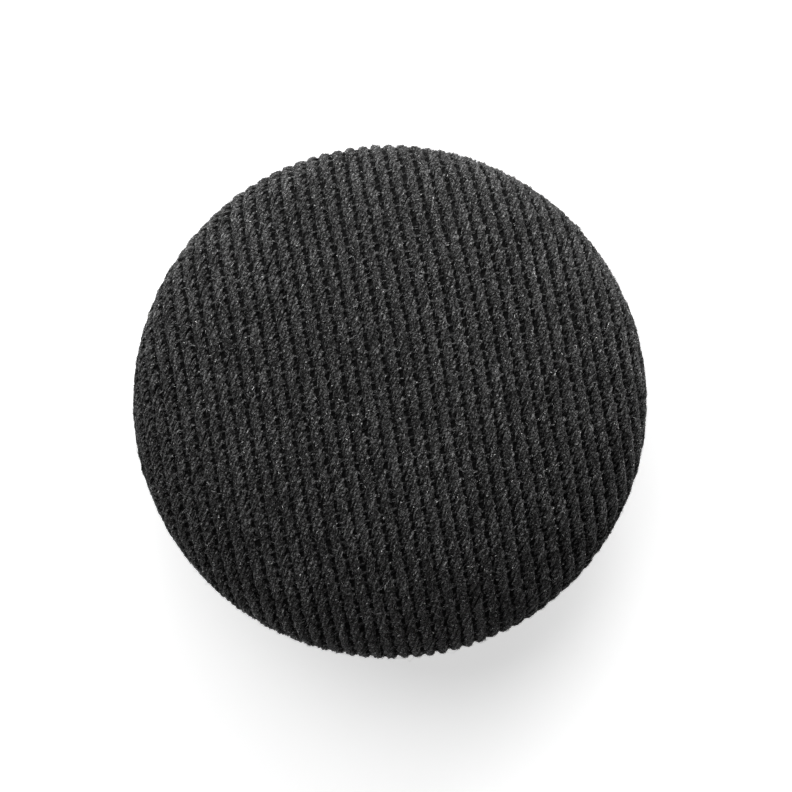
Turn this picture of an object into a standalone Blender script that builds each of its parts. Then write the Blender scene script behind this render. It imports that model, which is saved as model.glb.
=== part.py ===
"""Smart home hub: a low round puck with a knit-covered dome over a plastic base.

Run with:  blender --background --python part.py
Units are metres, +Z is up and the foot pad stands on z = 0.  The power inlet and the
microphone switch are at the back (+Y).  Every sub-part is one named object in the
collection "smart_home_hub"; the bodies that cut or extend them are in "hub_cutters".
"""

import math

import bmesh
import bpy
from mathutils import Matrix, Vector

MM = 0.001

# Outer form: a superellipse dome over an equator, with a skirt that tucks in below it.
COVER_RADIUS = 49.0 * MM
EQUATOR_Z = 23.5 * MM
DOME_RISE = 18.5 * MM
DOME_POWER = 2.2
SKIRT_END_Z = 14.0 * MM
SKIRT_TUCK = 2.5 * MM
FABRIC_THICKNESS = 1.2 * MM

# Clearances and fineness.
GAP = 0.3 * MM
MERGE = 0.01 * MM
SHARP_ANGLE = math.radians(32.0)
COVER_STEPS = 48
ROUND_STEPS = 40
DRIVER_STEPS = 24
POST_ROOT = 0.5 * MM

# Top shell: the perforated dome under the knit.
SHELL_THICKNESS = 2.0 * MM
SHELL_BOTTOM_Z = 17.3 * MM
SHELL_INSET = FABRIC_THICKNESS + GAP
SOUND_HOLE_RADIUS = 1.5 * MM
SOUND_HOLE_RINGS = ((21.0 * MM, 12), (36.0 * MM, 20))
SHELL_BOSS_SINK = 5.8 * MM
SHELL_STAKE_SINK = 3.0 * MM

# Base shell: a shallow bowl with a locating lip and a shoulder for the fabric hem.
BASE_RIM_RADIUS = 46.1 * MM
BASE_RIM_Z = 13.7 * MM
BASE_FLAT_RADIUS = 33.5 * MM
BASE_BOTTOM_Z = 1.2 * MM
BASE_FLOOR_Z = 4.2 * MM
BASE_WALL = 2.0 * MM
BASE_CENTRE_RADIUS = 22.2 * MM
BASE_CENTRE_FLOOR_Z = 3.2 * MM
LIP_OUTER_RADIUS = 43.9 * MM
LIP_INNER_RADIUS = 42.1 * MM
LIP_TOP_Z = 19.0 * MM

# Hem: the fabric's turned-in edge and the hoop that holds it.
HEM_INNER_RADIUS = 44.2 * MM
HEM_RING_OUTER_RADIUS = 45.5 * MM
HEM_RING_HEIGHT = 1.5 * MM

# Foot pad, in a shallow ring-shaped recess under the base.
FOOT_INNER_RADIUS = 23.5 * MM
FOOT_OUTER_RADIUS = 31.5 * MM
FOOT_HEIGHT = 2.0 * MM
FOOT_EDGE = 0.4 * MM

# Case screws, hidden under the foot pad.
CASE_SCREW_CIRCLE = 27.5 * MM
CASE_SCREW_ANGLES = (45.0, 135.0, 225.0, 315.0)
CASE_SHANK_RADIUS = 1.2 * MM
CASE_HEAD_RADIUS = 2.4 * MM
CASE_HEAD_Z = 2.6 * MM
CASE_HEAD_HEIGHT = 1.8 * MM
CASE_SCREW_TOP_Z = 19.0 * MM
COLUMN_RADIUS = 3.9 * MM
COLUMN_NECK_RADIUS = 3.0 * MM
BOSS_RADIUS = 3.2 * MM

# Main board and what stands on it.
BOARD_RADIUS = 37.0 * MM
BOARD_Z = 6.1 * MM
BOARD_THICKNESS = 1.2 * MM
BOARD_TOP_Z = BOARD_Z + BOARD_THICKNESS
BOARD_SCREW_CIRCLE = 33.0 * MM
BOARD_SCREW_ANGLES = (0.0, 180.0, 240.0)
BOARD_SHANK_RADIUS = 0.9 * MM
BOARD_HEAD_RADIUS = 2.0 * MM
BOARD_SCREW_LENGTH = 3.6 * MM
BOARD_BOSS_RADIUS = 2.6 * MM
BOARD_PILOT_BOTTOM_Z = 3.4 * MM
PAN_HEAD_HEIGHT = 1.2 * MM
SOFT_EDGE = 0.15 * MM
PROCESSOR_CAN_SIZE = (24.0 * MM, 18.0 * MM, 2.2 * MM)
PROCESSOR_CAN_Y = -6.0 * MM
PROCESSOR_SIZE = (11.0 * MM, 11.0 * MM, 1.2 * MM)
PROCESSOR_X = -4.5 * MM
MEMORY_SIZE = (8.0 * MM, 10.0 * MM, 1.0 * MM)
MEMORY_X = 6.5 * MM
RADIO_CAN_SIZE = (12.0 * MM, 9.0 * MM, 1.8 * MM)
RADIO_CAN_PLACE = (-22.0 * MM, 6.0 * MM)
AMPLIFIER_SIZE = (5.0 * MM, 5.0 * MM, 0.9 * MM)
AMPLIFIER_PLACE = (19.0 * MM, -6.0 * MM)
INDUCTOR_SIZE = (6.0 * MM, 6.0 * MM, 2.8 * MM)
INDUCTOR_PLACE = (12.0 * MM, 16.0 * MM)
INDUCTOR_EDGE = 0.6 * MM
CAPACITOR_PLACES = ((-6.0 * MM, 24.0 * MM), (0.0, 24.0 * MM))
CAPACITOR_RADIUS = 2.1 * MM
CAPACITOR_HEIGHT = 3.0 * MM
CAN_SHEET = 0.25 * MM
PAD_SIZE = (20.0 * MM, 14.0 * MM)

# Aluminium chassis plate that carries the speaker and spreads the heat.
CHASSIS_RADIUS = 40.0 * MM
CHASSIS_Z = 11.6 * MM
CHASSIS_THICKNESS = 1.5 * MM
CHASSIS_TOP_Z = CHASSIS_Z + CHASSIS_THICKNESS
CHASSIS_INLET_NOTCH = (17.0 * MM, 6.0 * MM, 6.0 * MM)
CHASSIS_RIBBON_NOTCH = (8.0 * MM, 10.0 * MM, 6.0 * MM)
LEAD_HOLE_RADIUS = 3.0 * MM

# Aerials on the inside of the lip of the base.
ANTENNA_TOP_Z = 18.5 * MM
ANTENNA_THICKNESS = 0.4 * MM
ANTENNA_HALF_ANGLE = 18.0

# Speaker, facing up.
SPEAKER_SCREW_CIRCLE = 21.8 * MM
SPEAKER_SCREW_ANGLES = (0.0, 90.0, 180.0, 270.0)
SPEAKER_FLANGE_RADIUS = 23.8 * MM
SPEAKER_FLANGE_Z = 27.4 * MM
SPEAKER_FLANGE_THICKNESS = 1.2 * MM
SPEAKER_POST_RADIUS = 2.0 * MM
SPEAKER_SHANK_RADIUS = 0.8 * MM
SPEAKER_HEAD_RADIUS = 1.6 * MM
SPEAKER_SCREW_LENGTH = 8.0 * MM
SPEAKER_PILOT_BOTTOM_Z = 19.0 * MM
LEAD_X = 25.6 * MM
LEAD_Y = -6.5 * MM
YOKE_RADIUS = 14.0 * MM
YOKE_Z = CHASSIS_TOP_Z + GAP
YOKE_THICKNESS = 1.8 * MM
POLE_RADIUS = 4.7 * MM
MAGNET_RADIUS = 15.0 * MM
MAGNET_HEIGHT = 4.0 * MM
TOP_PLATE_THICKNESS = 2.0 * MM
TOP_PLATE_RADIUS = 13.4 * MM
MAGNET_BORE_RADIUS = 7.6 * MM
BASKET_NECK_RADIUS = 6.4 * MM
BASKET_FLOOR_RADIUS = 14.4 * MM
BASKET_WALL_RADIUS = 19.6 * MM
BASKET_BORE_RADIUS = 18.8 * MM
BASKET_SHEET = 0.8 * MM
BASKET_WINDOW = (12.0 * MM, 13.0 * MM, 3.2 * MM)
BASKET_WINDOW_REACH = 18.6 * MM
BASKET_WINDOW_RISE = 2.8 * MM
COIL_INNER_RADIUS = 5.0 * MM
COIL_OUTER_RADIUS = 5.5 * MM
COIL_DEPTH = 5.2 * MM
CONE_NECK_RISE = 3.6 * MM
CONE_RIM_RISE = 7.9 * MM
CONE_RIM_RADIUS = 14.0 * MM
CONE_MIDDLE_RADIUS = 9.5 * MM
CONE_EDGE_RADIUS = 15.2 * MM
CONE_SHEET = 0.5 * MM
CONE_BELLY = 0.5 * MM
CONE_RIM_SHEET = 0.35 * MM
CAP_RADIUS = 6.9 * MM
CAP_RISE = 2.0 * MM
CAP_SHEET = 0.3 * MM
CAP_LIFT = 1.1 * MM
CAP_STEPS = 4
SURROUND_INNER_RADIUS = 15.4 * MM
SURROUND_OUTER_RADIUS = 18.8 * MM
SURROUND_RISE = 1.6 * MM
SURROUND_SHEET = 0.35 * MM
SURROUND_STEPS = 6
SURROUND_OUTER_FOOT = 1.1 * MM
SURROUND_INNER_FOOT = 1.2 * MM
SPIDER_OUTER_RADIUS = 12.4 * MM
SPIDER_FOOT = 0.8 * MM
SPIDER_RISE = 1.1 * MM
SPIDER_LIFT = 1.6 * MM
SPIDER_WAVE = 0.25 * MM
SPIDER_WAVES = 2
SPIDER_SHEET = 0.3 * MM
SPIDER_STEPS = 8
LEAD_RADIUS = 0.45 * MM
LEAD_SPACING = 2.2 * MM
LEAD_ROUTE = ((0.0, 12.0 * MM), (-0.2 * MM, 16.0 * MM), (-1.2 * MM, 20.0 * MM),
              (-3.6 * MM, 23.0 * MM), (-6.6 * MM, 24.4 * MM))
LEAD_CONNECTOR_SIZE = (4.0 * MM, 5.0 * MM, 2.0 * MM)
TERMINAL_SIZE = (0.8 * MM, 5.0 * MM, 3.0 * MM)
TERMINAL_SHIFT = -7.3 * MM

# USB-C inlet at the back.
INLET_Z = 9.2 * MM
INLET_POCKET_WIDTH = 12.4 * MM
INLET_POCKET_HEIGHT = 6.2 * MM
INLET_POCKET_BACK_Y = 41.2 * MM
INLET_WALL = 1.2 * MM
INLET_SHELL_WIDTH = 8.9 * MM
INLET_SHELL_HEIGHT = 3.2 * MM
INLET_SHELL_LENGTH = 7.3 * MM
INLET_SHELL_FRONT_Y = 40.9 * MM
INLET_SHELL_WALL = 0.3 * MM
INLET_SHELL_BACK = 1.0 * MM
INLET_POCKET_DEPTH = 8.0 * MM
INLET_POCKET_CORNER = 1.5 * MM
INLET_BLOCK_INSET = 0.5 * MM
TONGUE_SIZE = (6.6 * MM, 4.6 * MM, 0.7 * MM)

# Microphone switch, round the wall from the inlet.
MUTE_ANGLE = 56.0
MUTE_Z = INLET_Z
MUTE_TRAVEL = 3.0 * MM
MUTE_KNOB_WIDTH = 4.4 * MM
MUTE_KNOB_HEIGHT = 2.6 * MM
MUTE_KNOB_INNER_RADIUS = 43.3 * MM
MUTE_KNOB_OUTER_RADIUS = 46.1 * MM
MUTE_KNOB_EDGE = 0.35 * MM
MUTE_STEM_SIZE = (1.8 * MM, 1.4 * MM)
MUTE_STEM_OVERLAP = 0.5 * MM
MUTE_SLOT_DEPTH = 8.0 * MM
MUTE_BODY_SIZE = (4.4 * MM, 9.0 * MM, 3.4 * MM)
MUTE_BODY_REACH = 36.4 * MM
MUTE_BODY_EDGE = 0.2 * MM

# Reset button in the middle of the underside.
RESET_Y = 14.0 * MM
RESET_RADIUS = 3.0 * MM
RESET_FLANGE_RADIUS = 4.0 * MM
RESET_FACE_Z = 1.4 * MM
RESET_FACE_EDGE = 0.3 * MM
RESET_FLANGE_THICKNESS = 0.5 * MM
RESET_NIB_RADIUS = 1.1 * MM
RESET_NIB_TOP_Z = 4.3 * MM
RESET_BODY_SIZE = (3.6 * MM, 3.6 * MM, 1.0 * MM)

# Light and microphone board under the top of the dome.
LIGHT_BOARD_Z = 34.5 * MM
LIGHT_BOARD_THICKNESS = 1.0 * MM
LIGHT_BOARD_TOP_Z = LIGHT_BOARD_Z + LIGHT_BOARD_THICKNESS
LIGHT_BOARD_LENGTH = 38.0 * MM
LIGHT_BOARD_WIDTH = 9.0 * MM
LED_SPACING = 5.4 * MM
GUIDE_LENGTH = 22.0 * MM
GUIDE_WIDTH = 5.0 * MM
GUIDE_TOP_Z = 40.0 * MM
STAKE_X = 13.2 * MM
STAKE_RADIUS = 0.9 * MM
MICROPHONE_X = 16.6 * MM
MICROPHONE_HOLE_RADIUS = 0.7 * MM
MICROPHONE_SIZE = (3.5 * MM, 2.7 * MM, 1.0 * MM)
MICROPHONE_SHIFT = 0.2 * MM
SEAL_RADIUS = 1.9 * MM
SEAL_TOP_Z = 36.9 * MM
LED_SIZE = (3.0 * MM, 2.8 * MM, 0.8 * MM)
LED_COUNT = 4
GUIDE_EDGE = 0.4 * MM

# Flat cable between the boards: its middle line as (y, z).
RIBBON_ROUTE = ((-32.9 * MM, 8.4 * MM), (-35.3 * MM, 9.2 * MM), (-36.6 * MM, 12.0 * MM),
                (-37.4 * MM, 17.0 * MM), (-37.3 * MM, 22.5 * MM), (-35.0 * MM, 28.0 * MM),
                (-30.0 * MM, 31.8 * MM), (-22.0 * MM, 33.9 * MM), (-13.0 * MM, 34.7 * MM),
                (-4.9 * MM, 35.0 * MM))
RIBBON_THICKNESS = 0.3 * MM
RIBBON_WIDTH = 6.0 * MM
RIBBON_CONNECTOR_SIZE = (9.0 * MM, 3.0 * MM, 1.6 * MM)
RIBBON_CONNECTOR_PLACE = (0.0, -31.0 * MM)

materials = {}


# ---------------------------------------------------------------- scene and materials

def clear_scene():
    for obj in list(bpy.data.objects):
        bpy.data.objects.remove(obj, do_unlink=True)


def new_collection(name):
    collection = bpy.data.collections.new(name)
    bpy.context.scene.collection.children.link(collection)
    return collection


clear_scene()
parts = new_collection("smart_home_hub")
cutters = new_collection("hub_cutters")


def add_material(name, colour, roughness, metallic=0.0):
    material = bpy.data.materials.new(name)
    material.use_nodes = True
    shader = material.node_tree.nodes["Principled BSDF"]
    shader.inputs["Base Color"].default_value = (*colour, 1.0)
    shader.inputs["Roughness"].default_value = roughness
    shader.inputs["Metallic"].default_value = metallic
    material.diffuse_color = (*colour, 1.0)
    materials[name] = material


def add_materials():
    add_material("knit_black", (0.020, 0.020, 0.021), 0.92)
    add_material("shell_plastic", (0.030, 0.030, 0.032), 0.55)
    add_material("base_plastic", (0.024, 0.024, 0.026), 0.42)
    add_material("hem_plastic", (0.045, 0.045, 0.048), 0.50)
    add_material("silicone", (0.050, 0.050, 0.052), 0.70)
    add_material("aluminium", (0.72, 0.73, 0.75), 0.38, 1.0)
    add_material("plated_steel", (0.62, 0.62, 0.60), 0.30, 1.0)
    add_material("shield_steel", (0.66, 0.66, 0.64), 0.34, 1.0)
    add_material("ferrite", (0.060, 0.058, 0.056), 0.60)
    add_material("basket_steel", (0.080, 0.080, 0.085), 0.45, 0.6)
    add_material("cone_paper", (0.070, 0.068, 0.064), 0.85)
    add_material("surround_rubber", (0.028, 0.028, 0.028), 0.65)
    add_material("spider_cloth", (0.55, 0.38, 0.16), 0.90)
    add_material("copper_winding", (0.72, 0.36, 0.20), 0.35, 1.0)
    add_material("board_green", (0.025, 0.120, 0.055), 0.45)
    add_material("board_black", (0.020, 0.022, 0.024), 0.45)
    add_material("chip_plastic", (0.030, 0.030, 0.032), 0.50)
    add_material("led_white", (0.86, 0.86, 0.80), 0.35)
    add_material("guide_acrylic", (0.82, 0.83, 0.84), 0.25)
    add_material("mute_plastic", (0.100, 0.100, 0.105), 0.45)
    add_material("button_plastic", (0.070, 0.070, 0.074), 0.45)
    add_material("thermal_silicone", (0.42, 0.47, 0.52), 0.80)
    add_material("foam_grey", (0.120, 0.120, 0.122), 0.90)
    add_material("ribbon_film", (0.46, 0.28, 0.10), 0.40)
    add_material("lead_red", (0.50, 0.030, 0.025), 0.50)
    add_material("lead_black", (0.025, 0.025, 0.025), 0.50)


def link(obj, material_name, collection=None):
    """Put an object in a collection and give it its material."""
    target = parts if collection is None else collection
    for owner in list(obj.users_collection):
        owner.objects.unlink(obj)
    target.objects.link(obj)
    if material_name:
        obj.data.materials.clear()
        obj.data.materials.append(materials[material_name])
    if target is cutters:
        obj.display_type = "WIRE"
        obj.hide_render = True
    return obj


def smooth(mesh):
    mesh.shade_smooth()
    mesh.set_sharp_from_angle(angle=SHARP_ANGLE)


def evaluated_mesh(obj):
    depsgraph = bpy.context.evaluated_depsgraph_get()
    return bpy.data.meshes.new_from_object(obj.evaluated_get(depsgraph))


# ---------------------------------------------------------------- shape makers

def ring_places(radius, angles):
    """Points on a circle about the hub's axis, one for each angle in degrees."""
    turns = [math.radians(angle) for angle in angles]
    return [(radius * math.cos(turn), radius * math.sin(turn)) for turn in turns]


def even_angles(count, offset=0.0):
    return [offset + 360.0 * index / count for index in range(count)]


def turned(name, profile, material_name, steps=ROUND_STEPS, centre=(0.0, 0.0), collection=None):
    """Turn an (r, z) profile about the vertical axis through centre.

    The profile runs down the outer side.  It either starts and ends on the axis, or it
    is the loop of a ring's section and closes on itself.
    """
    mesh = bpy.data.meshes.new(name)
    count = len(profile)
    on_axis = profile[0][0] == 0.0 and profile[-1][0] == 0.0
    edges = [(index, index + 1) for index in range(count - 1)]
    if not on_axis:
        edges.append((count - 1, 0))
    mesh.from_pydata([(r, 0.0, z) for r, z in profile], edges, [])
    obj = bpy.data.objects.new(name, mesh)
    bpy.context.scene.collection.objects.link(obj)
    screw = obj.modifiers.new("Turn", "SCREW")
    screw.axis = "Z"
    screw.steps = steps
    screw.render_steps = steps
    screw.use_merge_vertices = True
    screw.merge_threshold = MERGE
    solid = evaluated_mesh(obj)
    obj.modifiers.clear()
    obj.data = solid
    smooth(solid)
    obj.location = (centre[0], centre[1], 0.0)
    return link(obj, material_name, collection)


def tube_section(inner, outer, z_low, z_high):
    """Section loop of a plain ring."""
    return [(outer, z_high), (outer, z_low), (inner, z_low), (inner, z_high)]


def box(name, size, centre, material_name, edge=0.0, turn=0.0, collection=None):
    """A block, its centre given in the frame turned by turn degrees about the axis."""
    bpy.ops.mesh.primitive_cube_add(size=1.0)
    obj = bpy.context.object
    obj.name = name
    obj.data.name = name
    obj.data.transform(Matrix.Diagonal((*size, 1.0)))
    spin = Matrix.Rotation(math.radians(turn), 4, "Z")
    obj.location = spin @ Vector(centre)
    obj.rotation_euler = (0.0, 0.0, math.radians(turn))
    if edge:
        bevel = obj.modifiers.new("Edges", "BEVEL")
        bevel.width = edge
        bevel.segments = 1
    return link(obj, material_name, collection)


def posts(name, places, radius, z_low, z_high, material_name=None, sides=12, collection=None):
    """Upright round bodies at several places, in one object."""
    mesh = bpy.data.meshes.new(name)
    shape = bmesh.new()
    for x, y in places:
        middle = Matrix.Translation((x, y, (z_low + z_high) / 2.0))
        bmesh.ops.create_cone(shape, cap_ends=True, segments=sides, radius1=radius,
                              radius2=radius, depth=z_high - z_low, matrix=middle)
    shape.to_mesh(mesh)
    shape.free()
    smooth(mesh)
    obj = bpy.data.objects.new(name, mesh)
    bpy.context.scene.collection.objects.link(obj)
    return link(obj, material_name, collection)


def flat_outline(name, points, z_low, z_high, material_name):
    """A plate from a closed outline in XY."""
    curve = bpy.data.curves.new(name, "CURVE")
    curve.dimensions = "2D"
    curve.fill_mode = "BOTH"
    curve.extrude = (z_high - z_low) / 2.0
    spline = curve.splines.new("POLY")
    spline.points.add(len(points) - 1)
    for point, (x, y) in zip(spline.points, points):
        point.co = (x, y, 0.0, 1.0)
    spline.use_cyclic_u = True
    obj = bpy.data.objects.new(name, curve)
    bpy.context.scene.collection.objects.link(obj)
    obj.location.z = (z_low + z_high) / 2.0
    return link(obj, material_name)


def wire(name, points, radius, material_name):
    """A round lead along a list of points."""
    curve = bpy.data.curves.new(name, "CURVE")
    curve.dimensions = "3D"
    curve.bevel_depth = radius
    curve.bevel_resolution = 2
    curve.use_fill_caps = True
    spline = curve.splines.new("POLY")
    spline.points.add(len(points) - 1)
    for point, place in zip(spline.points, points):
        point.co = (*place, 1.0)
    obj = bpy.data.objects.new(name, curve)
    bpy.context.scene.collection.objects.link(obj)
    return link(obj, material_name)


def boolean(obj, other, operation):
    modifier = obj.modifiers.new(other.name, "BOOLEAN")
    modifier.operation = operation
    modifier.solver = "EXACT"
    modifier.object = other


def cut(obj, *others):
    for other in others:
        boolean(obj, other, "DIFFERENCE")


def extend(obj, *others):
    for other in others:
        boolean(obj, other, "UNION")


def settle():
    """Apply the cuts and joins, so that the shading follows the finished edges."""
    for obj in parts.objects:
        if any(modifier.type == "BOOLEAN" for modifier in obj.modifiers):
            mesh = evaluated_mesh(obj)
            obj.modifiers.clear()
            obj.data = mesh
            smooth(mesh)


def bores(name, places, radius, z_low, z_high, sides=12):
    return posts(name, places, radius, z_low, z_high, sides=sides, collection=cutters)


def cutting_box(name, size, centre, turn=0.0):
    return box(name, size, centre, None, turn=turn, collection=cutters)


# ---------------------------------------------------------------- outer form

def dome_point(turn, inset):
    """A point of the dome, inset along the surface normal; turn 90 degrees is the top."""
    across = math.cos(turn) ** (2.0 / DOME_POWER)
    up = math.sin(turn) ** (2.0 / DOME_POWER)
    normal = Vector((across ** (DOME_POWER - 1.0) / COVER_RADIUS,
                     up ** (DOME_POWER - 1.0) / DOME_RISE)).normalized()
    return (COVER_RADIUS * across - inset * normal.x,
            EQUATOR_Z + DOME_RISE * up - inset * normal.y)


def skirt_radius(z, inset):
    """Radius of the skirt below the equator at height z."""
    drop = EQUATOR_Z - SKIRT_END_Z
    share = (EQUATOR_Z - z) / drop
    slope = 2.0 * SKIRT_TUCK * share / drop
    return COVER_RADIUS - SKIRT_TUCK * share ** 2 - inset * math.hypot(1.0, slope)


def cover_profile(inset, end_z, dome_steps, skirt_steps):
    """Profile of the outer form from the top of the dome down to end_z."""
    turns = [math.radians(90.0 * (1.0 - index / dome_steps)) for index in range(dome_steps + 1)]
    profile = [(0.0, EQUATOR_Z + DOME_RISE - inset)]
    profile += [dome_point(turn, inset) for turn in turns[1:-1]]
    profile.append((COVER_RADIUS - inset, EQUATOR_Z))
    for index in range(1, skirt_steps + 1):
        z = EQUATOR_Z + (end_z - EQUATOR_Z) * index / skirt_steps
        profile.append((skirt_radius(z, inset), z))
    return profile


def base_profile(rim_radius, bottom_z, steps):
    """Quarter ellipse from the rim of the base down to its flat bottom."""
    reach = rim_radius - BASE_FLAT_RADIUS
    depth = BASE_RIM_Z - bottom_z
    turns = [math.radians(90.0 * index / steps) for index in range(steps + 1)]
    return [(BASE_FLAT_RADIUS + reach * math.cos(turn), BASE_RIM_Z - depth * math.sin(turn))
            for turn in turns]


# ---------------------------------------------------------------- casing

def make_fabric_cover():
    """Knit cover with its edge turned in under the dome."""
    hem_top_z = SKIRT_END_Z + FABRIC_THICKNESS
    outer = cover_profile(0.0, SKIRT_END_Z, 12, 2)
    inner = cover_profile(FABRIC_THICKNESS, hem_top_z, 12, 3)
    hem = [(HEM_INNER_RADIUS, SKIRT_END_Z), (HEM_INNER_RADIUS, hem_top_z)]
    turned("fabric_cover", outer + hem + inner[::-1], "knit_black", COVER_STEPS)


def make_hem_ring():
    bottom = SKIRT_END_Z + FABRIC_THICKNESS + GAP
    section = tube_section(HEM_INNER_RADIUS, HEM_RING_OUTER_RADIUS, bottom, bottom + HEM_RING_HEIGHT)
    turned("hem_ring", section, "hem_plastic")


def make_top_shell():
    """Dome grille with bosses for the case screws and stakes for the light board."""
    outer = cover_profile(SHELL_INSET, SHELL_BOTTOM_Z, 8, 1)
    inner = cover_profile(SHELL_INSET + SHELL_THICKNESS, SHELL_BOTTOM_Z, 6, 1)
    shell = turned("top_shell", outer + inner[::-1], "shell_plastic")
    places = ring_places(CASE_SCREW_CIRCLE, CASE_SCREW_ANGLES)
    boss_bottom = CHASSIS_TOP_Z + GAP
    boss_top = EQUATOR_Z + DOME_RISE - SHELL_BOSS_SINK
    stake_top = EQUATOR_Z + DOME_RISE - SHELL_STAKE_SINK
    bosses = posts("top_shell_bosses", places, BOSS_RADIUS, boss_bottom, boss_top, collection=cutters)
    stakes = posts("top_shell_stakes", [(-STAKE_X, 0.0), (STAKE_X, 0.0)], STAKE_RADIUS,
                   LIGHT_BOARD_Z - GAP, stake_top, collection=cutters)
    extend(shell, bosses, stakes)
    pilots = bores("top_shell_pilots", places, CASE_SHANK_RADIUS + GAP, boss_bottom - MM,
                   CASE_SCREW_TOP_Z + MM)
    holes = []
    for radius, count in SOUND_HOLE_RINGS:
        step = 360.0 / count
        holes += ring_places(radius, even_angles(count, step / 2.0))
    clear_of_bosses = [hole for hole in holes if min(
        math.dist(hole, place) for place in places) > BOSS_RADIUS + 2.0 * SOUND_HOLE_RADIUS]
    grille = bores("top_shell_sound_holes", clear_of_bosses, SOUND_HOLE_RADIUS, EQUATOR_Z,
                   EQUATOR_Z + DOME_RISE + MM, sides=6)
    ports = bores("top_shell_microphone_holes", [(-MICROPHONE_X, 0.0), (MICROPHONE_X, 0.0)],
                  MICROPHONE_HOLE_RADIUS, LIGHT_BOARD_TOP_Z, EQUATOR_Z + DOME_RISE, sides=8)
    window = cutting_box("top_shell_light_window",
                         (GUIDE_LENGTH + 2.0 * GAP, GUIDE_WIDTH + 2.0 * GAP, 6.0 * MM),
                         (0.0, 0.0, GUIDE_TOP_Z))
    cut(shell, pilots, grille, ports, window)


def make_base_shell():
    """Bowl with columns for the case screws, bosses for the board and the inlet pocket."""
    recess_top = FOOT_HEIGHT + GAP
    wall = base_profile(BASE_RIM_RADIUS - BASE_WALL, BASE_FLOOR_Z, 4)
    inner = [(0.0, BASE_CENTRE_FLOOR_Z), (BASE_CENTRE_RADIUS, BASE_CENTRE_FLOOR_Z),
             (BASE_CENTRE_RADIUS, BASE_FLOOR_Z)]
    inner += wall[:0:-1]
    inner += [(LIP_INNER_RADIUS, BASE_RIM_Z), (LIP_INNER_RADIUS, LIP_TOP_Z)]
    outer = [(LIP_OUTER_RADIUS, LIP_TOP_Z), (LIP_OUTER_RADIUS, BASE_RIM_Z)]
    outer += base_profile(BASE_RIM_RADIUS, BASE_BOTTOM_Z, 6)
    outer += [(FOOT_OUTER_RADIUS + GAP, BASE_BOTTOM_Z), (FOOT_OUTER_RADIUS + GAP, recess_top),
              (FOOT_INNER_RADIUS - GAP, recess_top), (FOOT_INNER_RADIUS - GAP, BASE_BOTTOM_Z),
              (0.0, BASE_BOTTOM_Z)]
    base = turned("base_shell", inner + outer, "base_plastic")

    columns = ring_places(CASE_SCREW_CIRCLE, CASE_SCREW_ANGLES)
    bosses = ring_places(BOARD_SCREW_CIRCLE, BOARD_SCREW_ANGLES)
    root_z = BASE_FLOOR_Z - POST_ROOT
    extend(
        base,
        posts("base_columns", columns, COLUMN_RADIUS, root_z, CHASSIS_Z - GAP, collection=cutters),
        posts("base_column_necks", columns, COLUMN_NECK_RADIUS, root_z, CHASSIS_TOP_Z - GAP,
              collection=cutters),
        posts("base_board_bosses", bosses, BOARD_BOSS_RADIUS, root_z, BOARD_Z - GAP, collection=cutters),
        inlet_block(),
    )
    cut(
        base,
        bores("base_case_bores", columns, CASE_SHANK_RADIUS + GAP, BASE_BOTTOM_Z, CHASSIS_TOP_Z + MM),
        bores("base_head_pockets", columns, CASE_HEAD_RADIUS + GAP, BASE_BOTTOM_Z,
              CASE_HEAD_Z + CASE_HEAD_HEIGHT + GAP),
        bores("base_board_pilots", bosses, BOARD_SHANK_RADIUS + GAP, BOARD_PILOT_BOTTOM_Z, BOARD_Z),
        bores("base_reset_bore", [(0.0, RESET_Y)], RESET_RADIUS + GAP, 0.0, BASE_FLOOR_Z, 24),
        inlet_pocket(),
        inlet_aperture(),
        mute_slot(),
    )


def make_foot_pad():
    """Ring of silicone with softened edges, standing on z = 0."""
    inner, outer, top, edge = FOOT_INNER_RADIUS, FOOT_OUTER_RADIUS, FOOT_HEIGHT, FOOT_EDGE
    section = [(outer, top), (outer, edge), (outer - edge, 0.0), (inner + edge, 0.0),
               (inner, edge), (inner, top)]
    turned("foot_pad", section, "silicone", COVER_STEPS)


# ---------------------------------------------------------------- inlet and controls

def inlet_block():
    """Material round the pocket of the inlet, kept inside the outer form of the base."""
    low = BASE_FLOOR_Z - POST_ROOT
    high = INLET_Z + INLET_POCKET_HEIGHT / 2.0 + INLET_WALL
    back = INLET_POCKET_BACK_Y - INLET_WALL
    front = BASE_RIM_RADIUS
    size = (INLET_POCKET_WIDTH + 2.0 * INLET_WALL, front - back, high - low)
    block = box("base_inlet_block", size, (0.0, (front + back) / 2.0, (high + low) / 2.0), None,
                collection=cutters)
    inset = INLET_BLOCK_INSET
    bowl = base_profile(BASE_RIM_RADIUS - inset, BASE_BOTTOM_Z + inset, 6)
    profile = [(0.0, BASE_RIM_Z - inset), (bowl[0][0], BASE_RIM_Z - inset)] + bowl[1:]
    profile.append((0.0, BASE_BOTTOM_Z + inset))
    boolean(block, turned("base_envelope", profile, None, collection=cutters), "INTERSECT")
    return block


def inlet_pocket():
    size = (INLET_POCKET_WIDTH, INLET_POCKET_DEPTH, INLET_POCKET_HEIGHT)
    pocket = cutting_box("base_inlet_pocket", size,
                         (0.0, INLET_POCKET_BACK_Y + INLET_POCKET_DEPTH / 2.0, INLET_Z))
    corners = pocket.modifiers.new("Corners", "BEVEL")
    corners.width = INLET_POCKET_CORNER
    corners.segments = 3
    return pocket


def inlet_aperture():
    size = (INLET_SHELL_WIDTH + 2.0 * GAP, INLET_POCKET_DEPTH, INLET_SHELL_HEIGHT + 2.0 * GAP)
    return cutting_box("base_inlet_aperture", size, (0.0, INLET_POCKET_BACK_Y - INLET_WALL, INLET_Z))


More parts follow.
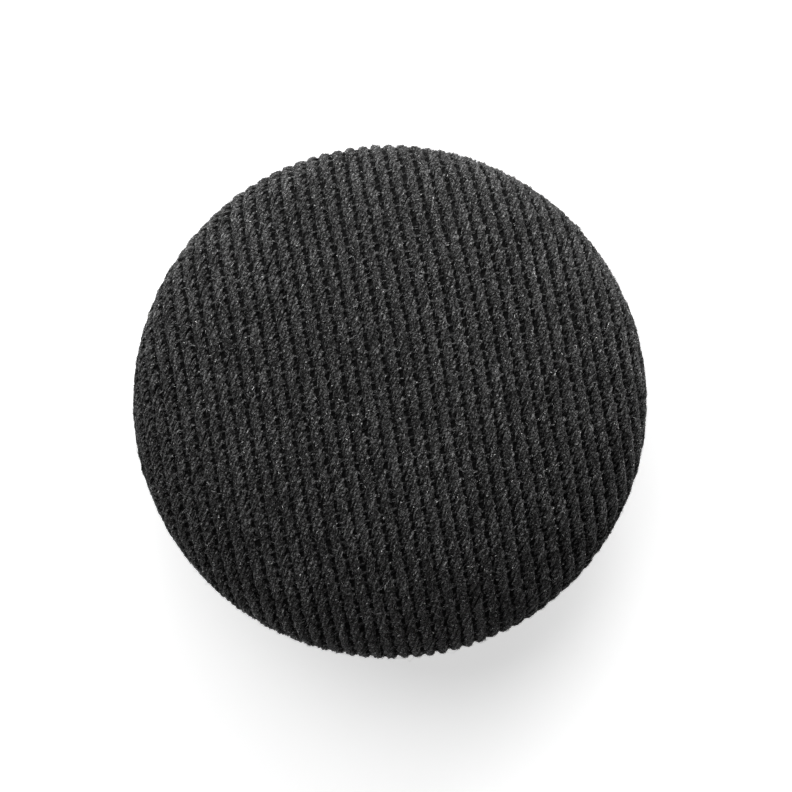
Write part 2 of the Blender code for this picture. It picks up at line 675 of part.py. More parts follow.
def mute_slot():
    size = (MUTE_SLOT_DEPTH, MUTE_KNOB_WIDTH + MUTE_TRAVEL + 2.0 * GAP, MUTE_KNOB_HEIGHT + 2.0 * GAP)
    return cutting_box("base_mute_slot", size, (MUTE_KNOB_INNER_RADIUS, 0.0, MUTE_Z), MUTE_ANGLE)


def make_inlet():
    """USB-C receptacle: a rounded metal sleeve and the contact tongue inside it."""
    centre = (0.0, INLET_SHELL_FRONT_Y - INLET_SHELL_LENGTH / 2.0, INLET_Z)
    size = (INLET_SHELL_WIDTH, INLET_SHELL_LENGTH, INLET_SHELL_HEIGHT)
    sleeve = box("usb_c_shell", size, centre, "plated_steel")
    rounded_along_y(sleeve, INLET_SHELL_HEIGHT * 0.49)
    wall = 2.0 * INLET_SHELL_WALL
    mouth = cutting_box("usb_c_mouth", (size[0] - wall, size[1], size[2] - wall),
                        (centre[0], centre[1] + INLET_SHELL_BACK, centre[2]))
    rounded_along_y(mouth, (INLET_SHELL_HEIGHT - wall) * 0.49)
    cut(sleeve, mouth)
    tongue_back = INLET_SHELL_FRONT_Y - INLET_SHELL_LENGTH + INLET_SHELL_BACK + GAP
    box("usb_c_tongue", TONGUE_SIZE, (0.0, tongue_back + TONGUE_SIZE[1] / 2.0, INLET_Z),
        "chip_plastic", edge=SOFT_EDGE)


def rounded_along_y(obj, radius):
    """Round the four edges of a box that run along Y."""
    mesh = obj.data
    weights = mesh.attributes.new("bevel_weight_edge", "FLOAT", "EDGE")
    for edge in mesh.edges:
        start, end = (mesh.vertices[index].co for index in edge.vertices)
        along_y = abs(start.x - end.x) < MERGE and abs(start.z - end.z) < MERGE
        weights.data[edge.index].value = 1.0 if along_y else 0.0
    bevel = obj.modifiers.new("Round", "BEVEL")
    bevel.limit_method = "WEIGHT"
    bevel.width = radius
    bevel.segments = 4


def make_mute_switch():
    """Slide switch on the board and the slider that reaches through the base wall."""
    box("mute_switch_body", MUTE_BODY_SIZE,
        (MUTE_BODY_REACH, 0.0, BOARD_TOP_Z + GAP + MUTE_BODY_SIZE[2] / 2.0), "chip_plastic",
        MUTE_BODY_EDGE, MUTE_ANGLE)
    rest = -MUTE_TRAVEL / 2.0
    depth = MUTE_KNOB_OUTER_RADIUS - MUTE_KNOB_INNER_RADIUS
    middle = (MUTE_KNOB_OUTER_RADIUS + MUTE_KNOB_INNER_RADIUS) / 2.0
    slider = box("mute_slider", (depth, MUTE_KNOB_WIDTH, MUTE_KNOB_HEIGHT), (middle, rest, MUTE_Z),
                 "mute_plastic", MUTE_KNOB_EDGE, MUTE_ANGLE)
    stem_start = MUTE_BODY_REACH + MUTE_BODY_SIZE[0] / 2.0 + GAP
    stem_end = MUTE_KNOB_INNER_RADIUS + MUTE_STEM_OVERLAP
    stem = box("mute_slider_stem", (stem_end - stem_start, *MUTE_STEM_SIZE),
               ((stem_start + stem_end) / 2.0, rest, MUTE_Z), None, turn=MUTE_ANGLE,
               collection=cutters)
    extend(slider, stem)


def make_reset():
    """Push button in the underside and the tact switch it presses."""
    flange_low = BASE_CENTRE_FLOOR_Z + GAP
    flange_high = flange_low + RESET_FLANGE_THICKNESS
    profile = [(0.0, RESET_NIB_TOP_Z), (RESET_NIB_RADIUS, RESET_NIB_TOP_Z),
               (RESET_NIB_RADIUS, flange_high),
               (RESET_FLANGE_RADIUS, flange_high), (RESET_FLANGE_RADIUS, flange_low),
               (RESET_RADIUS, flange_low), (RESET_RADIUS, RESET_FACE_Z + RESET_FACE_EDGE),
               (RESET_RADIUS - RESET_FACE_EDGE, RESET_FACE_Z), (0.0, RESET_FACE_Z)]
    turned("reset_button", profile, "button_plastic", 24, (0.0, RESET_Y))
    box("reset_switch_body", RESET_BODY_SIZE,
        (0.0, RESET_Y, BOARD_Z - GAP - RESET_BODY_SIZE[2] / 2.0), "plated_steel", SOFT_EDGE)


# ---------------------------------------------------------------- electronics

def make_main_board():
    """Round board with holes for the columns and the board screws."""
    board = posts("main_board", [(0.0, 0.0)], BOARD_RADIUS, BOARD_Z, BOARD_TOP_Z, "board_green",
                  ROUND_STEPS)
    columns = ring_places(CASE_SCREW_CIRCLE, CASE_SCREW_ANGLES)
    screws = ring_places(BOARD_SCREW_CIRCLE, BOARD_SCREW_ANGLES)
    cut(board,
        bores("board_column_holes", columns, COLUMN_RADIUS + GAP, 0.0, BOARD_TOP_Z + MM),
        bores("board_screw_holes", screws, BOARD_SHANK_RADIUS + GAP, 0.0, BOARD_TOP_Z + MM))


def shield_can(name, size, centre):
    """Sheet-metal can, open towards the board."""
    can = box(name, size, centre, "shield_steel")
    shape = bmesh.new()
    shape.from_mesh(can.data)
    bottom = [face for face in shape.faces if face.normal.z < -0.5]
    bmesh.ops.delete(shape, geom=bottom, context="FACES_ONLY")
    shape.to_mesh(can.data)
    shape.free()
    sheet = can.modifiers.new("Sheet", "SOLIDIFY")
    sheet.thickness = CAN_SHEET
    sheet.offset = -1.0
    sheet.use_even_offset = True


def on_board(name, size, place, material_name, edge=SOFT_EDGE):
    """A block standing on the main board."""
    centre = (place[0], place[1], BOARD_TOP_Z + GAP + size[2] / 2.0)
    return box(name, size, centre, material_name, edge)


def can_on_board(name, size, place):
    shield_can(name, size, (place[0], place[1], BOARD_TOP_Z + GAP + size[2] / 2.0))


def make_board_components():
    can_on_board("processor_shield", PROCESSOR_CAN_SIZE, (0.0, PROCESSOR_CAN_Y))
    on_board("processor", PROCESSOR_SIZE, (PROCESSOR_X, PROCESSOR_CAN_Y), "chip_plastic")
    on_board("memory_chip", MEMORY_SIZE, (MEMORY_X, PROCESSOR_CAN_Y), "chip_plastic")
    can_on_board("radio_shield", RADIO_CAN_SIZE, RADIO_CAN_PLACE)
    on_board("amplifier_chip", AMPLIFIER_SIZE, AMPLIFIER_PLACE, "chip_plastic")
    on_board("power_inductor", INDUCTOR_SIZE, INDUCTOR_PLACE, "ferrite", INDUCTOR_EDGE)
    for index, place in enumerate(CAPACITOR_PLACES, start=1):
        posts(f"capacitor_{index}", [place], CAPACITOR_RADIUS, BOARD_TOP_Z + GAP,
              BOARD_TOP_Z + GAP + CAPACITOR_HEIGHT, "aluminium", 16)
    pad_low = BOARD_TOP_Z + GAP + PROCESSOR_CAN_SIZE[2] + GAP
    pad_high = CHASSIS_Z - GAP
    box("thermal_pad", (*PAD_SIZE, pad_high - pad_low),
        (0.0, PROCESSOR_CAN_Y, (pad_high + pad_low) / 2.0), "thermal_silicone")


def make_chassis():
    """Aluminium plate with speaker posts, resting on the necks of the base columns."""
    plate = posts("chassis", [(0.0, 0.0)], CHASSIS_RADIUS, CHASSIS_Z, CHASSIS_TOP_Z, "aluminium",
                  ROUND_STEPS)
    speaker = ring_places(SPEAKER_SCREW_CIRCLE, SPEAKER_SCREW_ANGLES)
    post_top = SPEAKER_FLANGE_Z - GAP
    extend(plate, posts("chassis_posts", speaker, SPEAKER_POST_RADIUS, CHASSIS_Z + POST_ROOT,
                        post_top, collection=cutters))
    columns = ring_places(CASE_SCREW_CIRCLE, CASE_SCREW_ANGLES)
    cut(plate,
        bores("chassis_column_holes", columns, COLUMN_NECK_RADIUS + GAP, 0.0, CHASSIS_TOP_Z + MM),
        bores("chassis_pilots", speaker, SPEAKER_SHANK_RADIUS + GAP, SPEAKER_PILOT_BOTTOM_Z,
              post_top + MM, 8),
        bores("chassis_lead_hole", [(LEAD_X, LEAD_Y)], LEAD_HOLE_RADIUS, 0.0, CHASSIS_TOP_Z + MM),
        cutting_box("chassis_inlet_notch", CHASSIS_INLET_NOTCH, (0.0, CHASSIS_RADIUS, CHASSIS_Z)),
        cutting_box("chassis_ribbon_notch", CHASSIS_RIBBON_NOTCH, (0.0, -CHASSIS_RADIUS, CHASSIS_Z)))


def make_antennas():
    """Flexible aerials on the inside of the base shell's lip."""
    for side, middle in (("left", 180.0), ("right", 0.0)):
        angles = [middle + ANTENNA_HALF_ANGLE * (index / 4 - 1.0) for index in range(9)]
        outline = ring_places(LIP_INNER_RADIUS - GAP, angles)
        outline += ring_places(LIP_INNER_RADIUS - GAP - ANTENNA_THICKNESS, angles[::-1])
        flat_outline(f"antenna_{side}", outline, BASE_RIM_Z + GAP, ANTENNA_TOP_Z, "ribbon_film")


# ---------------------------------------------------------------- light board

def make_light_board():
    """Strip board with four lights and two microphones, and the bar that spreads the light."""
    board = box("light_board", (LIGHT_BOARD_LENGTH, LIGHT_BOARD_WIDTH, LIGHT_BOARD_THICKNESS),
                (0.0, 0.0, LIGHT_BOARD_Z + LIGHT_BOARD_THICKNESS / 2.0), "board_black")
    both_ends = ((-1.0, "left"), (1.0, "right"))
    cut(board,
        bores("light_board_stake_holes", [(side * STAKE_X, 0.0) for side, _ in both_ends],
              STAKE_RADIUS + GAP, LIGHT_BOARD_Z - MM, LIGHT_BOARD_TOP_Z + MM),
        bores("light_board_sound_holes", [(side * MICROPHONE_X, 0.0) for side, _ in both_ends],
              MICROPHONE_HOLE_RADIUS, LIGHT_BOARD_Z - MM, LIGHT_BOARD_TOP_Z + MM, 8))
    led_low = LIGHT_BOARD_TOP_Z + GAP
    for index in range(LED_COUNT):
        x = (index - (LED_COUNT - 1) / 2.0) * LED_SPACING
        box(f"led_{index + 1}", LED_SIZE, (x, 0.0, led_low + LED_SIZE[2] / 2.0), "led_white")
    guide_low = led_low + LED_SIZE[2] + GAP
    box("light_guide", (GUIDE_LENGTH, GUIDE_WIDTH, GUIDE_TOP_Z - guide_low),
        (0.0, 0.0, (GUIDE_TOP_Z + guide_low) / 2.0), "guide_acrylic", GUIDE_EDGE)
    for side, word in both_ends:
        box(f"microphone_{word}", MICROPHONE_SIZE,
            (side * (MICROPHONE_X + MICROPHONE_SHIFT), 0.0,
             LIGHT_BOARD_Z - GAP - MICROPHONE_SIZE[2] / 2.0), "shield_steel")
        section = tube_section(MICROPHONE_HOLE_RADIUS, SEAL_RADIUS, LIGHT_BOARD_TOP_Z + GAP, SEAL_TOP_Z)
        turned(f"microphone_seal_{word}", section, "foam_grey", 16, (side * MICROPHONE_X, 0.0))


def make_ribbon():
    """Flat cable from the main board, up inside the front of the dome, to the light board."""
    on_board("ribbon_connector", RIBBON_CONNECTOR_SIZE, RIBBON_CONNECTOR_PLACE, "chip_plastic")
    half = RIBBON_THICKNESS / 2.0
    one_side, other_side = [], []
    for index, point in enumerate(RIBBON_ROUTE):
        before = Vector(RIBBON_ROUTE[max(index - 1, 0)])
        after = Vector(RIBBON_ROUTE[min(index + 1, len(RIBBON_ROUTE) - 1)])
        along = (after - before).normalized()
        offset = Vector((-along.y, along.x)) * half
        one_side.append(tuple(Vector(point) + offset))
        other_side.append(tuple(Vector(point) - offset))
    ribbon = flat_outline("ribbon_cable", one_side + other_side[::-1], -RIBBON_WIDTH / 2.0,
                          RIBBON_WIDTH / 2.0, "ribbon_film")
    # The outline is drawn in YZ, so its plane is turned upright with its normal along X.
    ribbon.matrix_world = Matrix(((0, 0, 1, 0), (1, 0, 0, 0), (0, 1, 0, 0), (0, 0, 0, 1)))


# ---------------------------------------------------------------- speaker

def make_speaker_motor():
    yoke_top = YOKE_Z + YOKE_THICKNESS
    magnet_low = yoke_top + GAP
    magnet_high = magnet_low + MAGNET_HEIGHT
    plate_low = magnet_high + GAP
    plate_high = plate_low + TOP_PLATE_THICKNESS
    yoke = [(0.0, plate_high), (POLE_RADIUS, plate_high), (POLE_RADIUS, yoke_top),
            (YOKE_RADIUS, yoke_top), (YOKE_RADIUS, YOKE_Z), (0.0, YOKE_Z)]
    turned("speaker_yoke", yoke, "plated_steel", DRIVER_STEPS)
    turned("speaker_magnet", tube_section(MAGNET_BORE_RADIUS, MAGNET_RADIUS, magnet_low,
                                          magnet_high), "ferrite", DRIVER_STEPS)
    turned("speaker_top_plate", tube_section(COIL_OUTER_RADIUS + GAP, TOP_PLATE_RADIUS, plate_low,
                                             plate_high), "plated_steel", DRIVER_STEPS)
    return plate_high


def make_speaker_basket(low):
    """Pressed-steel basket: floor ring, four arms and a flange with screw holes."""
    flange_top = SPEAKER_FLANGE_Z + SPEAKER_FLANGE_THICKNESS
    profile = [(SPEAKER_FLANGE_RADIUS, flange_top), (SPEAKER_FLANGE_RADIUS, SPEAKER_FLANGE_Z),
               (BASKET_WALL_RADIUS, SPEAKER_FLANGE_Z), (BASKET_FLOOR_RADIUS, low),
               (BASKET_NECK_RADIUS, low), (BASKET_NECK_RADIUS, low + BASKET_SHEET),
               (BASKET_FLOOR_RADIUS - 0.6 * BASKET_SHEET, low + BASKET_SHEET),
               (BASKET_BORE_RADIUS, SPEAKER_FLANGE_Z + 0.75 * BASKET_SHEET),
               (BASKET_BORE_RADIUS, flange_top)]
    basket = turned("speaker_basket", profile, "basket_steel", DRIVER_STEPS)
    windows = [cutting_box(f"basket_window_{index}", BASKET_WINDOW,
                           (BASKET_WINDOW_REACH, 0.0, low + BASKET_WINDOW_RISE), angle)
               for index, angle in enumerate(CASE_SCREW_ANGLES, start=1)]
    holes = bores("basket_screw_holes", ring_places(SPEAKER_SCREW_CIRCLE, SPEAKER_SCREW_ANGLES),
                  SPEAKER_SHANK_RADIUS + GAP, SPEAKER_FLANGE_Z - MM, flange_top + MM)
    cut(basket, *windows, holes)


def roll_section(inner, outer, low, rise, lift, steps, thickness):
    """Section loop of a rolled ring: flat feet at both edges and a half-round between them."""
    middle, half = (inner + outer) / 2.0, (outer - inner) / 2.0
    path = []
    for index in range(steps + 1):
        turn = math.pi * index / steps
        share = index / steps
        path.append((middle + half * math.cos(turn), low + rise * math.sin(turn) + lift * share))
    path = [(outer + SURROUND_OUTER_FOOT, low)] + path + [(inner - SURROUND_INNER_FOOT, low + lift)]
    return path + [(r, z + thickness) for r, z in path[::-1]]


def make_speaker_cone(floor_z):
    """Moving parts of the speaker, and the surround and spider that hold them."""
    neck, neck_z = COIL_OUTER_RADIUS + GAP, floor_z + CONE_NECK_RISE
    rim_z = floor_z + CONE_RIM_RISE
    rim_top = rim_z + CONE_RIM_SHEET
    middle_z = (neck_z + rim_z) / 2.0
    turned("voice_coil", tube_section(COIL_INNER_RADIUS, COIL_OUTER_RADIUS, floor_z - COIL_DEPTH,
                                      neck_z), "copper_winding", DRIVER_STEPS)
    cone = [(CONE_EDGE_RADIUS, rim_top), (CONE_EDGE_RADIUS, rim_z), (CONE_RIM_RADIUS, rim_z),
            (CONE_MIDDLE_RADIUS, middle_z - CONE_BELLY), (neck, neck_z - CONE_SHEET),
            (neck, neck_z), (CONE_MIDDLE_RADIUS, middle_z), (CONE_RIM_RADIUS - GAP, rim_top)]
    turned("speaker_cone", cone, "cone_paper", DRIVER_STEPS)
    cap_low = neck_z + CAP_LIFT
    turns = [math.radians(90.0 * (1.0 - index / CAP_STEPS)) for index in range(1, CAP_STEPS + 1)]
    cap_top = [(CAP_RADIUS * math.cos(turn), cap_low + CAP_RISE * math.sin(turn)) for turn in turns]
    cap_under = [(r - CAP_SHEET, z - CAP_SHEET) for r, z in cap_top[::-1]]
    cap = [(0.0, cap_low + CAP_RISE)] + cap_top + [(CAP_RADIUS, cap_low - CAP_SHEET)] + cap_under
    turned("dust_cap", cap + [(0.0, cap_low + CAP_RISE - CAP_SHEET)], "cone_paper", DRIVER_STEPS)
    foot_z = SPEAKER_FLANGE_Z + SPEAKER_FLANGE_THICKNESS + GAP
    surround = roll_section(SURROUND_INNER_RADIUS, SURROUND_OUTER_RADIUS, foot_z, SURROUND_RISE,
                            rim_top + GAP - foot_z, SURROUND_STEPS, SURROUND_SHEET)
    turned("speaker_surround", surround, "surround_rubber", DRIVER_STEPS)
    turned("speaker_spider", spider_section(neck, SPIDER_OUTER_RADIUS, floor_z + SPIDER_RISE,
                                            SPIDER_LIFT), "spider_cloth", DRIVER_STEPS)


def spider_section(inner, outer, low, lift):
    """Section loop of the corrugated centring ring, higher at its inner edge."""
    path = [(outer + SPIDER_FOOT, low)]
    for index in range(SPIDER_STEPS + 1):
        share = index / SPIDER_STEPS
        ripple = SPIDER_WAVE * math.sin(share * SPIDER_WAVES * 2.0 * math.pi)
        path.append((outer + (inner - outer) * share, low + lift * share + ripple))
    return path + [(r, z + SPIDER_SHEET) for r, z in path[::-1]]


def make_speaker_leads():
    """Two leads from the main board, through the chassis, to the speaker's terminal."""
    for side, colour in ((-0.5, "red"), (0.5, "black")):
        y = LEAD_Y + side * LEAD_SPACING
        points = [(LEAD_X, y, BOARD_TOP_Z + GAP + LEAD_CONNECTOR_SIZE[2] + GAP)]
        points += [(LEAD_X + shift, y, z) for shift, z in LEAD_ROUTE]
        wire(f"speaker_lead_{colour}", points, LEAD_RADIUS, f"lead_{colour}")
    on_board("speaker_connector", LEAD_CONNECTOR_SIZE, (LEAD_X, LEAD_Y), "led_white")
    box("speaker_terminal", TERMINAL_SIZE, (LEAD_X + TERMINAL_SHIFT, LEAD_Y, LEAD_ROUTE[-1][1]),
        "board_black")


# ---------------------------------------------------------------- fasteners

def screw(name, place, shank_radius, head_radius, seat_z, head_height, length, up):
    """Pan-head screw; up is +1 with the head on top and -1 with the head below."""
    head_z = seat_z + up * head_height
    tip_z = seat_z - up * length
    profile = [(0.0, head_z), (0.8 * head_radius, head_z), (head_radius, seat_z),
               (shank_radius, seat_z), (shank_radius, tip_z), (0.0, tip_z)]
    if up < 0:
        profile.reverse()
    body = turned(name, profile, "plated_steel", 10, place)
    drive = 0.55 * head_radius
    socket = posts(f"{name}_drive", [place], drive, min(head_z, head_z - up * 0.45 * head_height),
                   max(head_z, head_z + up * MM), sides=6, collection=cutters)
    cut(body, socket)


def make_screws():
    for index, place in enumerate(ring_places(CASE_SCREW_CIRCLE, CASE_SCREW_ANGLES), start=1):
        seat = CASE_HEAD_Z + CASE_HEAD_HEIGHT
        screw(f"case_screw_{index}", place, CASE_SHANK_RADIUS, CASE_HEAD_RADIUS, seat,
              CASE_HEAD_HEIGHT, CASE_SCREW_TOP_Z - seat, -1.0)
    for index, place in enumerate(ring_places(BOARD_SCREW_CIRCLE, BOARD_SCREW_ANGLES), start=1):
        screw(f"board_screw_{index}", place, BOARD_SHANK_RADIUS, BOARD_HEAD_RADIUS,
              BOARD_TOP_Z + GAP, PAN_HEAD_HEIGHT, BOARD_SCREW_LENGTH, 1.0)
    flange_top = SPEAKER_FLANGE_Z + SPEAKER_FLANGE_THICKNESS
    for index, place in enumerate(ring_places(SPEAKER_SCREW_CIRCLE, SPEAKER_SCREW_ANGLES), start=1):
        screw(f"speaker_screw_{index}", place, SPEAKER_SHANK_RADIUS, SPEAKER_HEAD_RADIUS,
              flange_top + GAP, PAN_HEAD_HEIGHT, SPEAKER_SCREW_LENGTH, 1.0)


def main():
    add_materials()
    make_fabric_cover()
    make_hem_ring()
    make_top_shell()
    make_base_shell()
    make_foot_pad()
    make_inlet()
    make_mute_switch()
    make_reset()
    make_main_board()
    make_board_components()
    make_chassis()
    make_antennas()
    make_light_board()
    make_ribbon()
    plate_high = make_speaker_motor()
    make_speaker_basket(plate_high + GAP)
    make_speaker_cone(plate_high + GAP)
    make_speaker_leads()
    make_screws()
    settle()


main()
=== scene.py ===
"""Looks of the smart home hub: knit dome, moulded base, foot, inlet and controls.

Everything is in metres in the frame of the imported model: +Z up, +Y towards the back.
"""

import math

import bmesh
import bpy
import numpy as np
from mathutils import Matrix, Vector


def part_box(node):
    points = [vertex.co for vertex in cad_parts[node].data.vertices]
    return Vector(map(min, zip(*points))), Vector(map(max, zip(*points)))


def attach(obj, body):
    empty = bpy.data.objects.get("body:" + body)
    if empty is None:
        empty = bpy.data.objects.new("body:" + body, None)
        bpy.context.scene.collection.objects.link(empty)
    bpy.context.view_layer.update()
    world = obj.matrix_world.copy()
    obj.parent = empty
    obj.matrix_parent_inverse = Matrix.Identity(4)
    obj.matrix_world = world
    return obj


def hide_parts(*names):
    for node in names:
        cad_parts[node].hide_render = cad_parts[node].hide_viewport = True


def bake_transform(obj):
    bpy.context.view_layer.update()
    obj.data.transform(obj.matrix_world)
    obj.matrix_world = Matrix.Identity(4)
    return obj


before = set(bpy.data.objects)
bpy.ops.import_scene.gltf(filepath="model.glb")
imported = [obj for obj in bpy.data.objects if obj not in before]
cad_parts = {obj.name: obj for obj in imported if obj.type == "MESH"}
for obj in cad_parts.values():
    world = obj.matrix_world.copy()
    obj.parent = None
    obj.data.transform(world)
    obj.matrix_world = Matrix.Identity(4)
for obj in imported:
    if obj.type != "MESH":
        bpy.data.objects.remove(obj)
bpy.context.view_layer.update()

MM = 0.001
HUB = "hub"
rng = np.random.default_rng(27)

cover_low, cover_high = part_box("fabric_cover")
base_low, base_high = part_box("base_shell")
foot_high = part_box("foot_pad")[1]

# Outer form, as in the CAD: a superellipse dome, an equator and a skirt that tucks in.
COVER_RADIUS = (cover_high[0] - cover_low[0]) / 2.0
TOP_Z = cover_high[2]
DOME_RISE = 18.5 * MM
DOME_POWER = 2.2
EQUATOR_Z = TOP_Z - DOME_RISE
HEM_Z = cover_low[2]
SKIRT_TUCK = 2.5 * MM
HEM_BEND = 0.6 * MM
HEM_INNER_RADIUS = 44.6 * MM

# Knit gauge.  A cell is one course of one wale; the wales lean 11 degrees off the Y axis.
COURSE = np.array([0.349, -1.825]) * MM
WALE = np.array([2.848, -0.647]) * MM
STRAND_LEAN = math.radians(14.5)


# ---------------- outer form

def outer_profile():
    """Fine polyline of the outer form from the top to the inside of the hem: r and z."""
    turn = np.linspace(math.pi / 2.0, 0.0, 1500)
    r_dome = COVER_RADIUS * np.cos(turn).clip(0.0) ** (2.0 / DOME_POWER)
    z_dome = EQUATOR_Z + DOME_RISE * np.sin(turn) ** (2.0 / DOME_POWER)
    z_skirt = np.linspace(EQUATOR_Z, HEM_Z + HEM_BEND, 300)[1:]
    share = (EQUATOR_Z - z_skirt) / (EQUATOR_Z - HEM_Z)
    r_skirt = COVER_RADIUS - SKIRT_TUCK * share ** 2
    bend = np.linspace(0.0, math.pi / 2.0, 60)[1:]
    r_bend = r_skirt[-1] - HEM_BEND * (1.0 - np.cos(bend))
    z_bend = HEM_Z + HEM_BEND * (1.0 - np.sin(bend))
    r_hem = np.linspace(r_bend[-1], HEM_INNER_RADIUS, 40)[1:]
    z_hem = np.full_like(r_hem, HEM_Z)
    return (np.concatenate([r_dome, r_skirt, r_bend, r_hem]),
            np.concatenate([z_dome, z_skirt, z_bend, z_hem]))


class Surface:
    """Maps flat fabric coordinates to places on the outer form, with the fabric's stretch."""

    MOST_STRETCH = 1.30
    SKIRT_STRETCH = 1.15
    RIM_PITCH = 0.06

    def __init__(self):
        self.r, self.z = outer_profile()
        dr, dz = np.gradient(self.r), np.gradient(self.z)
        length = np.hypot(dr, dz)
        self.nr, self.nz = -dz / length, dr / length
        slope = 1.0 / np.maximum(dr / length, 1e-3)
        wanted = slope * (1.0 - self.RIM_PITCH * (self.r / COVER_RADIUS) ** 2)
        stretch = np.clip(wanted, 1.0, self.MOST_STRETCH)
        below = self.z < EQUATOR_Z
        depth = np.clip((EQUATOR_Z - self.z) / (4.0 * MM), 0.0, 1.0)
        stretch[below] = (self.MOST_STRETCH
                          + (self.SKIRT_STRETCH - self.MOST_STRETCH) * depth[below])
        step = np.hypot(np.diff(self.r), np.diff(self.z))
        middle = (stretch[1:] + stretch[:-1]) / 2.0
        self.flat = np.concatenate([[0.0], np.cumsum(step / middle)])
        self.reach = self.flat[-1]

    def place(self, flat_points, height):
        """Places and outward normals for fabric points (..., 2) raised by height (...)."""
        reach = np.hypot(flat_points[..., 0], flat_points[..., 1])
        turn = np.arctan2(flat_points[..., 1], flat_points[..., 0])
        r, z = np.interp(reach, self.flat, self.r), np.interp(reach, self.flat, self.z)
        nr, nz = np.interp(reach, self.flat, self.nr), np.interp(reach, self.flat, self.nz)
        normal = np.stack([nr * np.cos(turn), nr * np.sin(turn), nz], axis=-1)
        normal /= np.linalg.norm(normal, axis=-1, keepdims=True)
        base = np.stack([r * np.cos(turn), r * np.sin(turn), z], axis=-1)
        return base + normal * height[..., None], normal


surface = Surface()


# ---------------- mesh helpers

def add_object(name, data, material=None):
    """Object in the scene for a mesh, light or camera, painted if a material is given."""
    obj = bpy.data.objects.new(name, data)
    bpy.context.scene.collection.objects.link(obj)
    if material:
        data.materials.append(material)
    return obj


def tube_mesh(name, centres, normals, radius, flatten, sides, twist, seeds, tones_and_painted_light, ply=0.0):
    """Closed tubes along rows of centres (n, m, 3), with yarn coordinates as attributes."""
    count, steps = centres.shape[:2]
    along = np.gradient(centres, axis=1)
    along /= np.linalg.norm(along, axis=-1, keepdims=True) + 1e-12
    side = np.cross(along, normals)
    side /= np.linalg.norm(side, axis=-1, keepdims=True) + 1e-12
    up = np.cross(side, along)
    turn = np.linspace(0.0, 2.0 * math.pi, sides, endpoint=False)
    run = np.concatenate([np.zeros((count, 1)), np.cumsum(
        np.linalg.norm(np.diff(centres, axis=1), axis=-1), axis=1)], axis=1)
    phase = seeds[:, None] * 6.3 + run * twist
    bulge = 1.0 + ply * np.cos(2.0 * (turn[None, None, :] - phase[..., None]))
    size = radius[..., None] * bulge
    ring = (centres[:, :, None, :]
            + side[:, :, None, :] * (np.cos(turn) * size)[..., None]
            + up[:, :, None, :] * (np.sin(turn) * size)[..., None] * flatten)
    points = ring.reshape(-1, 3)
    index = np.arange(count * steps * sides).reshape(count, steps, sides)
    ahead = np.roll(index, -1, axis=2)
    quads = np.stack([index[:, :-1], ahead[:, :-1], ahead[:, 1:], index[:, 1:]], axis=-1)
    faces = quads.reshape(-1, 4).tolist()
    faces += index[:, 0, ::-1].tolist() + index[:, -1].tolist()
    mesh = bpy.data.meshes.new(name)
    mesh.from_pydata(points.tolist(), [], faces)
    around = np.broadcast_to(turn / (2.0 * math.pi), (count, steps, sides))
    yarn = np.stack([
        np.broadcast_to(run[..., None], around.shape),
        around + np.broadcast_to(run[..., None] * twist / (2.0 * math.pi), around.shape),
        np.broadcast_to(seeds[:, None, None] * 50.0, around.shape)], axis=-1)
    mesh.attributes.new("yarn", "FLOAT_VECTOR", "POINT").data.foreach_set(
        "vector", yarn.astype(np.float32).ravel())
    mesh.attributes.new("tone_and_painted_light", "FLOAT", "POINT").data.foreach_set(
        "value", np.broadcast_to(tones_and_painted_light[:, None, None], around.shape).astype(np.float32).ravel())
    mesh.shade_smooth()
    return mesh


def turned_mesh(name, profile, steps=160, closed=True):
    """Turn an (r, z) profile about the Z axis; it closes on itself, on the axis or not at all."""
    shape = bmesh.new()
    corners = [shape.verts.new((r, 0.0, z)) for r, z in profile]
    edges = [shape.edges.new(pair) for pair in zip(corners, corners[1:])]
    if closed and profile[0][0] > 0.0:
        edges.append(shape.edges.new((corners[-1], corners[0])))
    bmesh.ops.spin(shape, geom=corners + edges, cent=(0.0, 0.0, 0.0), axis=(0.0, 0.0, 1.0),
                   angle=2.0 * math.pi, steps=steps, use_merge=True)
    bmesh.ops.remove_doubles(shape, verts=shape.verts, dist=0.001 * MM)
    bmesh.ops.recalc_face_normals(shape, faces=shape.faces)
    mesh = bpy.data.meshes.new(name)
    shape.to_mesh(mesh)
    shape.free()
    mesh.shade_smooth()
    mesh.set_sharp_from_angle(angle=math.radians(40.0))
    return mesh


# ---------------- material helpers

def new_material(name):
    """New material with its tree, its shader and the output of the object's coordinates."""
    material = bpy.data.materials.new(name)
    material.use_nodes = True
    tree = material.node_tree
    place = tree.nodes.new("ShaderNodeTexCoord").outputs["Object"]
    return material, tree, tree.nodes["Principled BSDF"], place


def add_node(tree, kind, **values):
    """Node whose inputs and settings are given by name."""
    node = tree.nodes.new(kind)
    for key, value in values.items():
        if key in node.inputs:
            node.inputs[key].default_value = value
        else:
            setattr(node, key, value)
    return node


def ramp(tree, source, stops):
    """Colour ramp from a list of (place, grey or colour)."""
    node = tree.nodes.new("ShaderNodeValToRGB")
    elements = node.color_ramp.elements
    while len(elements) < len(stops):
        elements.new(0.5)
    for element, (place, colour) in zip(elements, stops):
        element.position = place
        rgb = colour if hasattr(colour, "__len__") else (colour, colour, colour)
        element.color = (*rgb, 1.0)
    tree.links.new(source, node.inputs["Fac"])
    return node.outputs["Color"]


def noise_level(tree, place, scale, detail, roughness=0.5):
    """Level of a noise texture at the places of an output."""
    noise = add_node(tree, "ShaderNodeTexNoise", Scale=scale, Detail=detail, Roughness=roughness)
    tree.links.new(place, noise.inputs["Vector"])
    return noise.outputs["Fac"]


